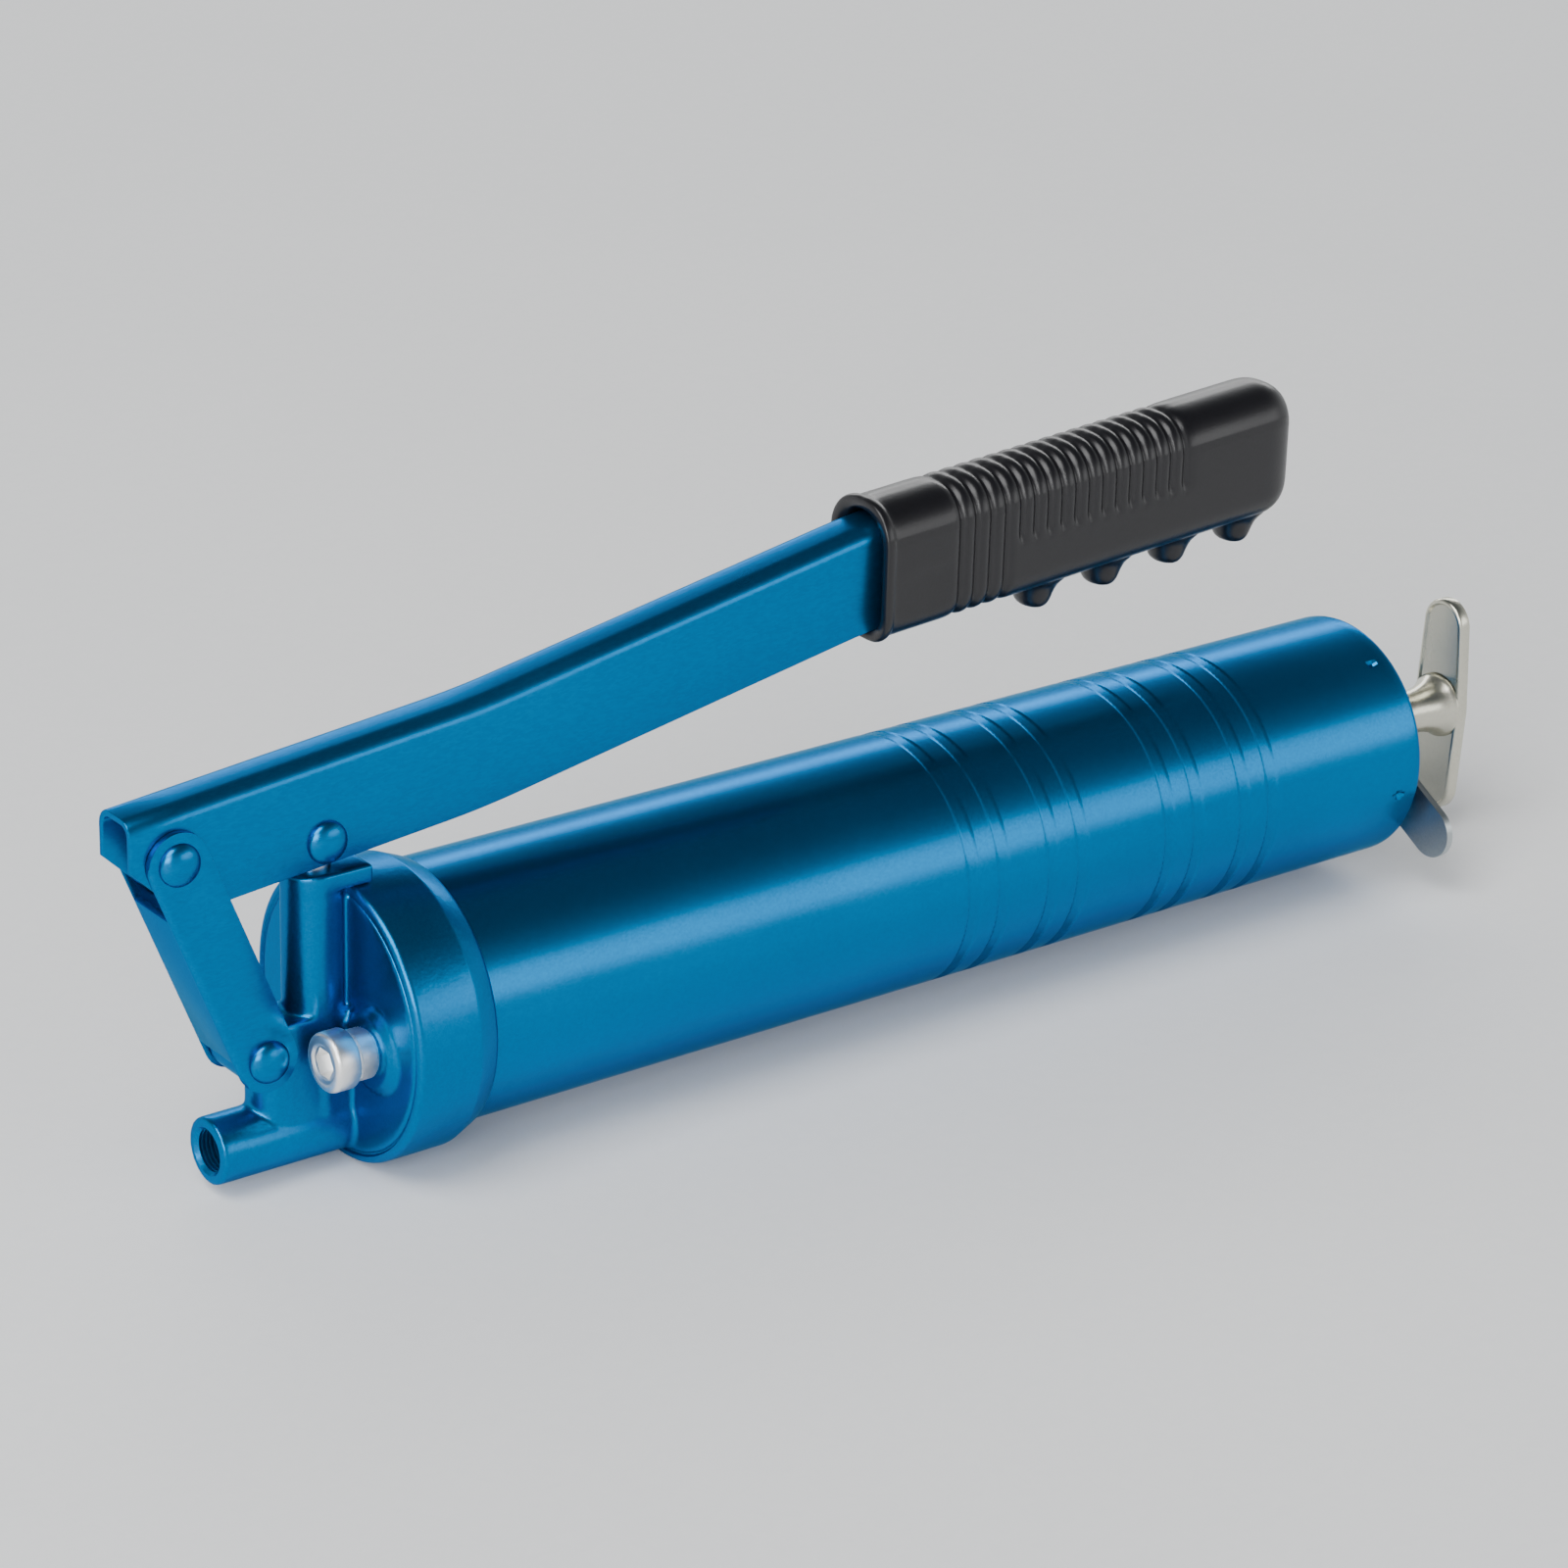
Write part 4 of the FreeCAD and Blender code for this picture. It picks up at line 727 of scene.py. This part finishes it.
applied(casting, "SMOOTH", factor=0.5, iterations=SMOOTHING)
print("casting skin has", len(casting.data.polygons), "faces")

# %% Drill the outlet
MOUTH_R, PORT_R, THREAD_R, CHECK_R = 5.4, 4.5, 4.95, 3.6
PITCH, TURNS = 0.95, 10
threads = [(1.0, MOUTH_R), (0.0, MOUTH_R), (-0.9, PORT_R)]
for turn in range(TURNS):
    threads += [(-1.2 - turn * PITCH, PORT_R), (-1.45 - turn * PITCH, THREAD_R),
                (-1.7 - turn * PITCH, PORT_R)]
threads += [(-11.0, PORT_R), (-11.0, CHECK_R), (-21.0, CHECK_R), (-21.5, POLE)]
drill = turned("outlet_drill", (0, 0, 0), [(1.0, POLE)] + threads, sides=64)
cut_away(casting, drill)
fitted(casting, "head_and_barrel", "blue_paint_casting", ["pump_head"], crease=38)

# %% [markdown]
# ## Filler valve
# Grease is pumped in through this screwed valve. It has a round head with a hexagon socket, a
# shallow groove, and a knurled neck. The head and neck are turned, the neck's points are moved in
# and out by turns for the knurl, and the socket is cut with a six-sided tool.

# %% Turn the valve and cut its socket
VALVE = (0, VALVE_Y * MM, VALVE_Z * MM)
VALVE_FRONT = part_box("filler_valve_body")[1].x / MM
VALVE_SIDES, VALVE_ROUND, SOCKET_FLATS, SOCKET_DEPTH = 72, 1.3, 6.0, 3.6
NECK_FIRST, NECK_STEP, NECK_ROWS, NECK_R, NECK_FOOT = 6.7, 0.55, 7, 5.3, 5.0
FACE_PROFILE = ((-0.5, POLE), (-0.5, 3.7), (-0.1, 4.2), (0.0, 4.5))
GROOVE_PROFILE = ((-5.0, 6.45), (-5.5, 6.2), (-5.8, 5.7), (-6.0, NECK_FOOT), (-6.5, NECK_FOOT))
FOOT_PROFILE = ((-10.3, NECK_FOOT), (-11.4, NECK_FOOT), (-11.4, POLE))
neck_rows = [VALVE_FRONT - NECK_FIRST - NECK_STEP * row for row in range(NECK_ROWS)]
outline = [(VALVE_FRONT + place, radius) for place, radius in FACE_PROFILE]
outline += arc((VALVE_FRONT - VALVE_ROUND, 5.15), VALVE_ROUND, 0, 90, 6)
outline += [(VALVE_FRONT + place, radius) for place, radius in GROOVE_PROFILE]
outline += [(place, NECK_R) for place in neck_rows]
outline += [(VALVE_FRONT + place, radius) for place, radius in FOOT_PROFILE]
valve = turned("filler_valve", VALVE, outline, VALVE_SIDES)


def in_neck(point, raised):
    """Whether point is on the neck, and there one of those that are raised, or one that is sunk."""
    side = round(math.atan2(point.z - VALVE[2], point.y - VALVE[1]) / (2 * math.pi / VALVE_SIDES))
    rows = [abs(point.x / MM - place) < 0.1 for place in neck_rows]
    outside = (Vector(VALVE) - point).yz.length > 4 * MM
    return any(rows) and (rows.index(True) + side) % 2 == raised and outside


editing(valve)
for raised, factor in ((1, 1.035), (0, 0.975)):
    pick(valve, "VERT", lambda point, _: in_neck(point, raised))
    bpy.ops.transform.resize(value=(1, factor, factor), center_override=VALVE)
done()
cut_away(valve, post("hex_tool", (0, VALVE_Y, VALVE_Z), "X", VALVE_FRONT - SOCKET_DEPTH,
                     VALVE_FRONT + 1, SOCKET_FLATS / math.sqrt(3), sides=6))
fitted(valve, "head_and_barrel", "nickel_valve", ["filler_valve_body"], crease=30)

# %% [markdown]
# ## Link
# The link is a strip of sheet bent into a channel: two cheeks with round ends, which straddle the
# lug below and the lever above, and a web that ties them at the front. A round blank is stretched
# into a bar with round ends, its front corners are bevelled as a press brake would leave them, and
# the inside is cut away.

# %% Bar with round ends
LINK_RUN = FRONT_PIVOT - LOW_PIVOT
LINK_DIR = LINK_RUN.normalized()
LINK_AHEAD = Vector((LINK_DIR.z, 0, -LINK_DIR.x))
LINK_HALF, CHEEK_OUT, CHEEK_IN, LINK_SHEET = 6.8, 7.95, 6.45, 1.5
link = round_blank("fulcrum_link_looks", LOW_PIVOT - SIDEWAYS * CHEEK_OUT * MM, LINK_HALF, "Y")
pick(link, "VERT", lambda point, _: (point - LOW_PIVOT).dot(LINK_DIR) > 0.05 * MM)
bpy.ops.transform.translate(value=LINK_RUN)
bpy.ops.mesh.select_all(action="SELECT")
bpy.ops.mesh.extrude_region_move(TRANSFORM_OT_translate={"value": SIDEWAYS * 2 * CHEEK_OUT * MM})
seal(link)
editing(link)
pick(link, "EDGE", lambda middle, run: abs(run.dot(SIDEWAYS)) < 0.1
     and (middle - LOW_PIVOT).dot(LINK_AHEAD) > 0.93 * LINK_HALF * MM)
LINK_BEND = 1.7
bpy.ops.mesh.bevel(offset=LINK_BEND * MM, segments=5, affect="EDGES")
done()
print("link blank is", round(LINK_RUN.length / MM, 2), "mm between pivots")


# %% Hollow the link
def slanted_block(name, along, ahead, half):
    """A box aligned with the link, from ranges in millimetres along it and ahead of it."""
    tool = block(name, (ahead[0], -half, along[0]), (ahead[1], half, along[1]))
    only(tool)
    tool.rotation_mode = "QUATERNION"
    tool.rotation_quaternion = UP.rotation_difference(LINK_DIR)
    tool.location = LOW_PIVOT
    bpy.ops.object.transform_apply(location=True, rotation=True, scale=True)
    return tool


link_mm = LINK_RUN.length / MM
PAST = 20  # how far the tools reach past the link
WEB_START, WEB_STOP = 4.0, link_mm - 10.6
cut_away(link, slanted_block("link_core", (-PAST, link_mm + PAST), (-PAST, LINK_HALF - LINK_SHEET),
                             CHEEK_IN))
cut_away(link, slanted_block("link_low", (-PAST, WEB_START), (-PAST, PAST), CHEEK_IN))
cut_away(link, slanted_block("link_top", (WEB_STOP, link_mm + PAST), (-PAST, PAST), CHEEK_IN))
softened(link, 0.35, 2, 50)
fitted(link, "link", "blue_paint_sheet", ["fulcrum_link"])

# %% [markdown]
# ## Rivets
# Three dome-headed rivets hold the linkage. The link's lower rivet is turned, with both its domes,
# and its front one is a copy with a mesh of its own. The lever's rivet is turned separately and
# shorter, because it doesn't go through the link.

# %% Turn the rivets
DOME_R, DOME_RISE, SHANK_R, DOME_GAP = 4.6, 2.5, 2.5, 0.02
DOME_ANGLES = (14, 24, 34, 44, 54, 64, 73, 81)


def rivet(name, centre, grip):
    """A rivet along Y whose heads sit on cheeks grip millimetres from the middle."""
    dome = [(grip + DOME_GAP, DOME_R), (grip + 0.35, 4.58)]
    dome += [(grip + DOME_GAP + DOME_RISE * math.sin(t), DOME_R * math.cos(t) + 0.04)
             for t in map(math.radians, DOME_ANGLES)]
    dome += [(grip + 2.52, POLE)]
    far_dome = [(-place, radius) for place, radius in dome[::-1]]
    shank = [(-grip, SHANK_R), (grip, SHANK_R)]
    return turned(name, centre, far_dome + shank + dome, sides=48, axis="Y")


plunger_low, plunger_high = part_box("plunger_rivet")
PLUNGER_PIVOT = (plunger_low + plunger_high) / 2
lower_rivet = rivet("lower_rivet_looks", LOW_PIVOT, CHEEK_OUT)
front_rivet = copy_of(lower_rivet, "front_rivet_looks", LINK_RUN)
lever_rivet = rivet("plunger_rivet_looks", PLUNGER_PIVOT, LUG_HALF)
for piece, body, node in ((lower_rivet, "link", "lower_pivot_rivet"),
                          (front_rivet, "link", "front_pivot_rivet"),
                          (lever_rivet, "lever", "plunger_rivet")):
    fitted(piece, body, "blue_paint_sheet", [node], crease=45)

# %% [markdown]
# ## Lever
# The lever is a long channel, open below, pressed from sheet: it runs straight over the pump, then
# rises, and flattens again under the grip. A flat section is extruded along stations that follow
# the bends, its upper edges are bevelled round, the open sides are deleted, and Solidify gives the
# sheet its thickness. That way the wall is even round every bend.

# %% Stations of the lever
LEVER_HALF, LEVER_DEPTH, LEVER_SHEET, LEVER_ROUND = 6.2, 23.8, 1.5, 3.8
NOSE_DEPTH, NOSE_LENGTH, BEND_REACH = 10.7, 12.4, 9.0
lever_corners = [(19.3, 79.7), (-63.7, 87.46), (-166.7, 105.9), (-279.0, 113.31)]


def eased(corners, reach):
    """The corners' line, with a short curve for each inner corner that starts reach before it."""
    found = [Vector(corners[0])]
    for before, corner, after in zip(corners, corners[1:], corners[2:]):
        corner = Vector(corner)
        start = corner + (Vector(before) - corner).normalized() * reach
        end = corner + (Vector(after) - corner).normalized() * reach
        for step in range(7):
            t = step / 6
            found.append(start * (1 - t) ** 2 + corner * 2 * t * (1 - t) + end * t ** 2)
    return found + [Vector(corners[-1])]


stations = eased(lever_corners, BEND_REACH)
nose = stations[0]
stations.insert(1, nose + (stations[1] - nose).normalized() * NOSE_LENGTH)
depths = [NOSE_DEPTH] + [LEVER_DEPTH] * (len(stations) - 1)
print("lever has", len(stations), "stations")

# %% Extrude, bevel and fold the lever
nose_middle = (nose.x * MM, 0, (nose.y - NOSE_DEPTH / 2) * MM)
lever = oblong_blank("lever_looks", nose_middle, 2 * LEVER_HALF, NOSE_DEPTH)
for (a, da), (b, db) in zip(zip(stations, depths), zip(stations[1:], depths[1:])):
    bpy.ops.mesh.extrude_region_move(
        TRANSFORM_OT_translate={"value": Vector((b.x - a.x, 0, b.y - a.y)) * MM})
    if db != da:
        bpy.ops.transform.resize(value=(1, 1, db / da), center_override=(b.x * MM, 0, b.y * MM))


def lever_top(x):
    """Height of the lever's upper line at x, both in metres."""
    for a, b in zip(stations, stations[1:]):
        if b.x * MM <= x <= a.x * MM:
            return (a.y + (b.y - a.y) * (x / MM - a.x) / (b.x - a.x)) * MM
    return nose.y * MM


bpy.ops.mesh.select_all(action="SELECT")
bpy.ops.mesh.normals_make_consistent(inside=False)
pick(lever, "EDGE", lambda middle, run: abs(run.x) > 0.9 and abs(middle.y) > 0.99 * LEVER_HALF * MM
     and abs(middle.z - lever_top(middle.x)) < 0.3 * MM)
bpy.ops.mesh.bevel(offset=LEVER_ROUND * MM, segments=7, affect="EDGES")


def is_open_side(middle, facing):
    """Whether a face is the open underside, or one of the lever's two ends."""
    below = facing.z < -0.3 and abs(facing.y) < 0.3
    at_end = middle.x > 0.95 * nose.x * MM or middle.x < stations[-1].x * MM * 0.99
    return below or (abs(facing.x) > 0.9 and at_end)


pick(lever, "FACE", is_open_side)
bpy.ops.mesh.delete(type="FACE")
seal(lever)
applied(lever, "SOLIDIFY", thickness=LEVER_SHEET * MM, offset=-1, use_even_offset=True)
softened(lever, 0.3, 2, 50)
fitted(lever, "lever", "blue_paint_sheet", ["lever_channel"], crease=30)

# %% [markdown]
# ## Grip
# The grip is a moulded sleeve: a bead round its mouth, a plain front, three ribs that go all the
# way round, a long row of ribs over the upper half, a plain rear with a rounded end, and four
# finger nubs below. Its section is drawn once as a rounded rectangle and extruded from ring to
# ring. The valleys between the ribs are then picked and shrunk along their normals, which keeps
# the crests on the sleeve's own surface.

# %% Section and stations of the grip
GRIP_FRONT, GRIP_REAR, GRIP_SLOPE = -164.7, -285.0, 0.066
GRIP_LOW, GRIP_DEPTH, GRIP_HALF = 79.0, 30.5, 10.0
FULL_FIRST, FULL_STEP, FULL_COUNT = -185.8, 4.2, 4
UPPER_FIRST, UPPER_STEP, UPPER_COUNT = -202.6, 3.9, 13
FULL_VALLEYS = [FULL_FIRST - FULL_STEP * number for number in range(FULL_COUNT)]
UPPER_VALLEYS = [UPPER_FIRST - UPPER_STEP * number for number in range(UPPER_COUNT)]
VALLEY_EDGE, VALLEY_FLOOR, VALLEY_SINK, PANEL_SINK = 0.95, 0.4, 0.95, 0.3
VALLEY_STEPS = (VALLEY_EDGE, VALLEY_FLOOR, -VALLEY_FLOOR, -VALLEY_EDGE)
CORNERS = ((True, 8.6, 7), (False, 5.5, 5))  # upper or lower, radius, segments


def grip_middle(x):
    """Height of the grip's middle line at x, in millimetres."""
    return GRIP_LOW + GRIP_DEPTH / 2 + (GRIP_FRONT - x) * GRIP_SLOPE


BEAD = ((0.0, 1.0), (0.2, 1.03), (0.8, 1.045), (1.6, 1.045), (2.2, 1.03), (2.6, 1.0), (3.4, 1.0))
rings = [(GRIP_FRONT - back, k, k) for back, k in BEAD] + [(-174.0, 1, 1), (-182.0, 1, 1)]
for valley in FULL_VALLEYS + UPPER_VALLEYS:
    rings += [(valley + step, 1, 1) for step in VALLEY_STEPS]
rings += [(-255.0, 1, 1), (-262.0, 1, 1), (-268.0, 1, 1)]
END_LONG, END_ROUND, END_POWER, END_LEAST = 11.0, 9.0, 2.4, 0.03
for left in (11.0, 9.4, 7.6, 5.8, 4.2, 2.9, 1.8, 0.9, 0.3, 0.0):
    across = max(1 - (1 - left / END_LONG) ** END_POWER, END_LEAST) ** (1 / END_POWER)
    drop = END_ROUND - math.sqrt(END_ROUND ** 2 - max(END_ROUND - left, 0) ** 2)
    rings.append((GRIP_REAR + left, across, 1 - 2 * drop / GRIP_DEPTH))

# %% Extrude the grip's skin
centre = Vector((GRIP_FRONT, 0, grip_middle(GRIP_FRONT))) * MM
grip = oblong_blank("lever_grip_looks", centre, 2 * GRIP_HALF, GRIP_DEPTH)
for upper, radius, segments in CORNERS:
    pick(grip, "VERT", lambda point, _: (point.z > centre.z) == upper
         and abs(point.y) > (GRIP_HALF - 0.01) * MM
         and abs(point.z - centre.z) > (GRIP_DEPTH / 2 - 0.01) * MM)
    bpy.ops.mesh.bevel(offset=radius * MM, segments=segments, affect="VERTICES")
bpy.ops.mesh.select_all(action="SELECT")
bpy.ops.mesh.delete(type="ONLY_FACE")
SIDE_CUTS, TOP_CUTS = 9, 4
pick(grip, "EDGE", lambda middle, run: abs(run.z) > 0.99 and abs(middle.y) > (GRIP_HALF - 0.2) * MM)
bpy.ops.mesh.subdivide(number_cuts=SIDE_CUTS)
pick(grip, "EDGE", lambda middle, run: abs(run.y) > 0.99 and abs(middle.y) < 0.1 * MM)
bpy.ops.mesh.subdivide(number_cuts=TOP_CUTS)
bpy.ops.mesh.select_all(action="SELECT")
for (a, wide_a, high_a), (b, wide_b, high_b) in zip(rings, rings[1:]):
    step = Vector((b - a, 0, grip_middle(b) - grip_middle(a))) * MM
    bpy.ops.mesh.extrude_edges_move(TRANSFORM_OT_translate={"value": step})
    bpy.ops.transform.resize(value=(1, wide_b / wide_a, high_b / high_a),
                             center_override=(b * MM, 0, grip_middle(b) * MM))
bpy.ops.mesh.edge_face_add()
print("grip skin has", len(rings), "rings")

# %% Sink the valleys and open the mouth
def in_valley(point, _):
    """Whether point is on the floor of a valley, which only the front ones have all the way round."""
    x = point.x / MM
    full = any(abs(x - valley) < VALLEY_FLOOR + 0.1 for valley in FULL_VALLEYS)
    upper = any(abs(x - valley) < VALLEY_FLOOR + 0.1 for valley in UPPER_VALLEYS)
    return full or (upper and point.z / MM > grip_middle(x) - 0.5)


pick(grip, "VERT", in_valley)
bpy.ops.mesh.normals_make_consistent(inside=False)
pick(grip, "VERT", in_valley)
bpy.ops.transform.shrink_fatten(value=-VALLEY_SINK * MM)
pick(grip, "VERT", lambda point, _: -184 < point.x / MM < -168.2 and abs(point.y) > 9.9 * MM
     and point.z / MM < grip_middle(point.x / MM) - 1.0)
bpy.ops.transform.shrink_fatten(value=-PANEL_SINK * MM)
pick(grip, "VERT", lambda point, _: point.x / MM > GRIP_FRONT - 0.05)
bpy.ops.mesh.extrude_edges_move(TRANSFORM_OT_translate={"value": (0, 0, 0)})
bpy.ops.transform.resize(value=(1, 0.65, 0.80), center_override=centre)
bpy.ops.transform.translate(value=(0, 0, -0.5 * MM))
bpy.ops.mesh.extrude_edges_move(TRANSFORM_OT_translate={"value": (-12 * MM, 0, 2.1 * MM)})
bpy.ops.mesh.edge_face_add()
seal(grip)
applied(grip, "SUBSURF", levels=1, render_levels=1)
print("grip skin has", len(grip.data.polygons), "faces")

# %% [markdown]
# The nubs are rounded pegs that flare into the sleeve. The first is extruded downwards from an
# oval, ring by ring, leaning a little forward. The others are copies along the grip's slope, each
# with its own mesh.

# %% Finger nubs
NUB_FIRST, NUB_STEP, NUB_COUNT = -214.5, 19.6, 4
NUB_RINGS = (  # drop, half length, half width, lean
    (1.6, 8.2, 8.0, -0.6), (0.2, 6.9, 6.9, -0.5), (-0.8, 5.6, 6.0, -0.3),
    (-2.0, 4.7, 5.5, -0.1), (-3.5, 4.1, 5.1, 0.1), (-5.0, 3.7, 4.8, 0.3),
    (-6.1, 3.0, 4.1, 0.4), (-6.7, 1.9, 2.9, 0.5), (-6.9, 0.4, 0.8, 0.5),
)


def finger_nub(x):
    """The nub below the grip at x, in millimetres."""
    low = grip_middle(x) - GRIP_DEPTH / 2
    drop, long, wide, lean = NUB_RINGS[0]
    root = Vector((x + lean, 0, low + drop)) * MM
    nub = round_blank("nub_0", root, 1, "Z", sides=32)
    bpy.ops.mesh.select_all(action="SELECT")
    bpy.ops.transform.resize(value=(long, wide, 1), center_override=root)
    for (d0, l0, w0, s0), (d1, l1, w1, s1) in zip(NUB_RINGS, NUB_RINGS[1:]):
        bpy.ops.mesh.extrude_region_move(
            TRANSFORM_OT_translate={"value": Vector((s1 - s0, 0, d1 - d0)) * MM})
        bpy.ops.transform.resize(value=(l1 / l0, w1 / w0, 1),
                                 center_override=Vector((x + s1, 0, low + d1)) * MM)
    seal(nub)
    return applied(nub, "SUBSURF", levels=1, render_levels=1)


nubs = [finger_nub(NUB_FIRST)]
for number in range(1, NUB_COUNT):
    shift = Vector((-NUB_STEP * number, 0, NUB_STEP * number * GRIP_SLOPE)) * MM
    nubs.append(copy_of(nubs[0], f"nub_{number}", shift))
grip = merged("lever_grip_looks", [grip] + nubs)
fitted(grip, "lever", "black_grip", ["lever_grip"], crease=60)

# %% [markdown]
# ## Pull handle
# The handle at the rear is a stamped plate with its edge turned back, and a flared ferrule ties it
# to the follower rod. An oblong blank is extruded, its front edge is bevelled, and its rear is
# inset and pushed in, which leaves the turned edge standing.

# %% Stamp the handle
HANDLE_FRONT, HANDLE_THICK = -344.2, 3.2
HANDLE_END, HANDLE_HALF, HANDLE_BULGE = 6.4, 27.0, 7.7
HANDLE_ROUND, FRONT_SINK, RIM_WIDTH, RIM_DEPTH = 1.0, 0.5, 1.3, 1.9


def oblong(name, x, end_radius, half, bulge, thickness):
    """A plate across the X axis with round ends and slightly bulged sides, in millimetres."""
    plate = round_blank(name, (x * MM, 0, AXIS_Z), end_radius, "X")
    for sign in (1, -1):
        pick(plate, "VERT", lambda point, _: (point.z - AXIS_Z) * sign > 0.01 * MM)
        bpy.ops.transform.translate(value=(0, 0, sign * (half - end_radius) * MM))
    for sign in (1, -1):
        pick(plate, "VERT", lambda point, _: abs(point.z - AXIS_Z) < 0.02 * MM and point.y * sign > 0)
        bpy.ops.transform.translate(value=(0, sign * (bulge - end_radius) * MM, 0))
    pick(plate, "FACE", lambda middle, facing: True)
    bpy.ops.mesh.extrude_region_move(TRANSFORM_OT_translate={"value": (-thickness * MM, 0, 0)})
    seal(plate)
    return plate


handle = oblong("pull_handle_looks", HANDLE_FRONT, HANDLE_END, HANDLE_HALF, HANDLE_BULGE,
                HANDLE_THICK)
editing(handle)
pick(handle, "FACE", lambda middle, facing: facing.x > 0.9)
bpy.ops.mesh.bevel(offset=HANDLE_ROUND * MM, segments=5, affect="EDGES")
pick(handle, "FACE", lambda middle, facing: facing.x > 0.99 and middle.x > (HANDLE_FRONT - 0.1) * MM)
bpy.ops.mesh.inset(thickness=FRONT_SINK * MM)
bpy.ops.transform.translate(value=(-FRONT_SINK * MM, 0, 0))
pick(handle, "FACE", lambda middle, facing: facing.x < -0.9)
bpy.ops.mesh.inset(thickness=RIM_WIDTH * MM)
bpy.ops.mesh.extrude_region_move(TRANSFORM_OT_translate={"value": (RIM_DEPTH * MM, 0, 0)})
seal(handle)
softened(handle, 0.3, 2, 60)
fitted(handle, "follower", "polished_steel", ["pull_handle"], crease=28)

# %% Turn the flared ferrule
FERRULE_PROFILE = (  # ahead of the handle, radius
    (-0.2, 4.0), (-0.2, 7.9), (0.2, 7.8), (0.9, 7.35), (1.9, 6.7), (3.2, 6.15), (4.8, 5.7),
    (7.0, 5.3), (10.0, 5.2), (21.2, 5.2), (21.8, 4.9), (22.0, 4.5), (22.0, 4.0),
)
outline = [(HANDLE_FRONT + ahead, radius) for ahead, radius in FERRULE_PROFILE]
ferrule = turned("handle_ferrule_looks", AXIS, outline + outline[:1], sides=64)
fitted(ferrule, "follower", "polished_steel", ["handle_ferrule"], crease=35)

# %% [markdown]
# ## Lock plate
# The lock plate hangs on the follower rod and grips it when it tilts. Its tongue sticks out past
# the barrel for the thumb. A narrow round-ended tongue is joined with a round disc, bored, and its
# edges are broken with a small bevel.

# %% Cut the lock plate
TONGUE_TURN = math.radians(-29.0)
TONGUE = Vector((0, math.cos(TONGUE_TURN), math.sin(TONGUE_TURN)))
PLATE_FRONT, PLATE_BACK = -315.9, -317.6
TONGUE_R, TONGUE_LENGTH, DISC_R, LOCK_BORE = 6.35, 39.5, 10.0, 4.25
lock = round_blank("lock_plate_looks", (PLATE_FRONT * MM, 0, AXIS_Z), TONGUE_R, "X")
pick(lock, "VERT", lambda point, _: (point - AXIS).dot(TONGUE) > 0.05 * MM)
bpy.ops.transform.translate(value=TONGUE * (TONGUE_LENGTH - TONGUE_R) * MM)
pick(lock, "FACE", lambda middle, facing: True)
bpy.ops.mesh.extrude_region_move(
    TRANSFORM_OT_translate={"value": ((PLATE_BACK - PLATE_FRONT) * MM, 0, 0)})
seal(lock)
disc = post("lock_disc", AXIS_MM, "X", PLATE_BACK, PLATE_FRONT, DISC_R)
applied(lock, "BOOLEAN", operation="UNION", solver="EXACT", object=disc)
bpy.data.objects.remove(disc)
cut_away(lock, post("lock_bore", AXIS_MM, "X", PLATE_BACK - 1, PLATE_FRONT + 1, LOCK_BORE))
softened(lock, 0.35, 3, 50)
fitted(lock, "lock_plate", "zinc_steel", ["rod_lock_plate"], crease=30)

# %% [markdown]
# ## Springs
# Three springs are squeezed when the follower and the two check balls move. A copy of each CAD
# coil, with its triangles merged into one skin, gets its finish and rides with the head and
# barrel. The copies keep the CAD coil's shape; they are not flattened as their joints move.

# %% Copy the springs
slots = {part["node"]: part["material_slot"] for part in frame["record"]["subparts"]}
SPRINGS = {"follower_spring": "follower_pull", "filler_spring": "filler_ball_lift",
           "outlet_check_spring": "outlet_ball_lift"}
for node, joint_name in SPRINGS.items():
    only(nodes[node])
    bpy.ops.object.duplicate()
    coil = named(node + "_looks")
    editing(coil)
    seal(coil)
    fitted(coil, "head_and_barrel", slots[node], [node], crease=60)
    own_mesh(coil)

# %% [markdown]
# ## Finishes on the CAD nodes
# The plunger, the rod, the rear cap, the follower and the small valve parts have the right shape
# already. They keep their CAD mesh, and the record says which finish each one takes.

# %% Give the CAD nodes their finishes
kept = [name for name, node in nodes.items() if not node.hide_render]
for name in kept:
    nodes[name].data.materials.clear()
    nodes[name].data.materials.append(finishes[slots[name]])
print("CAD nodes that stay:", sorted(kept))
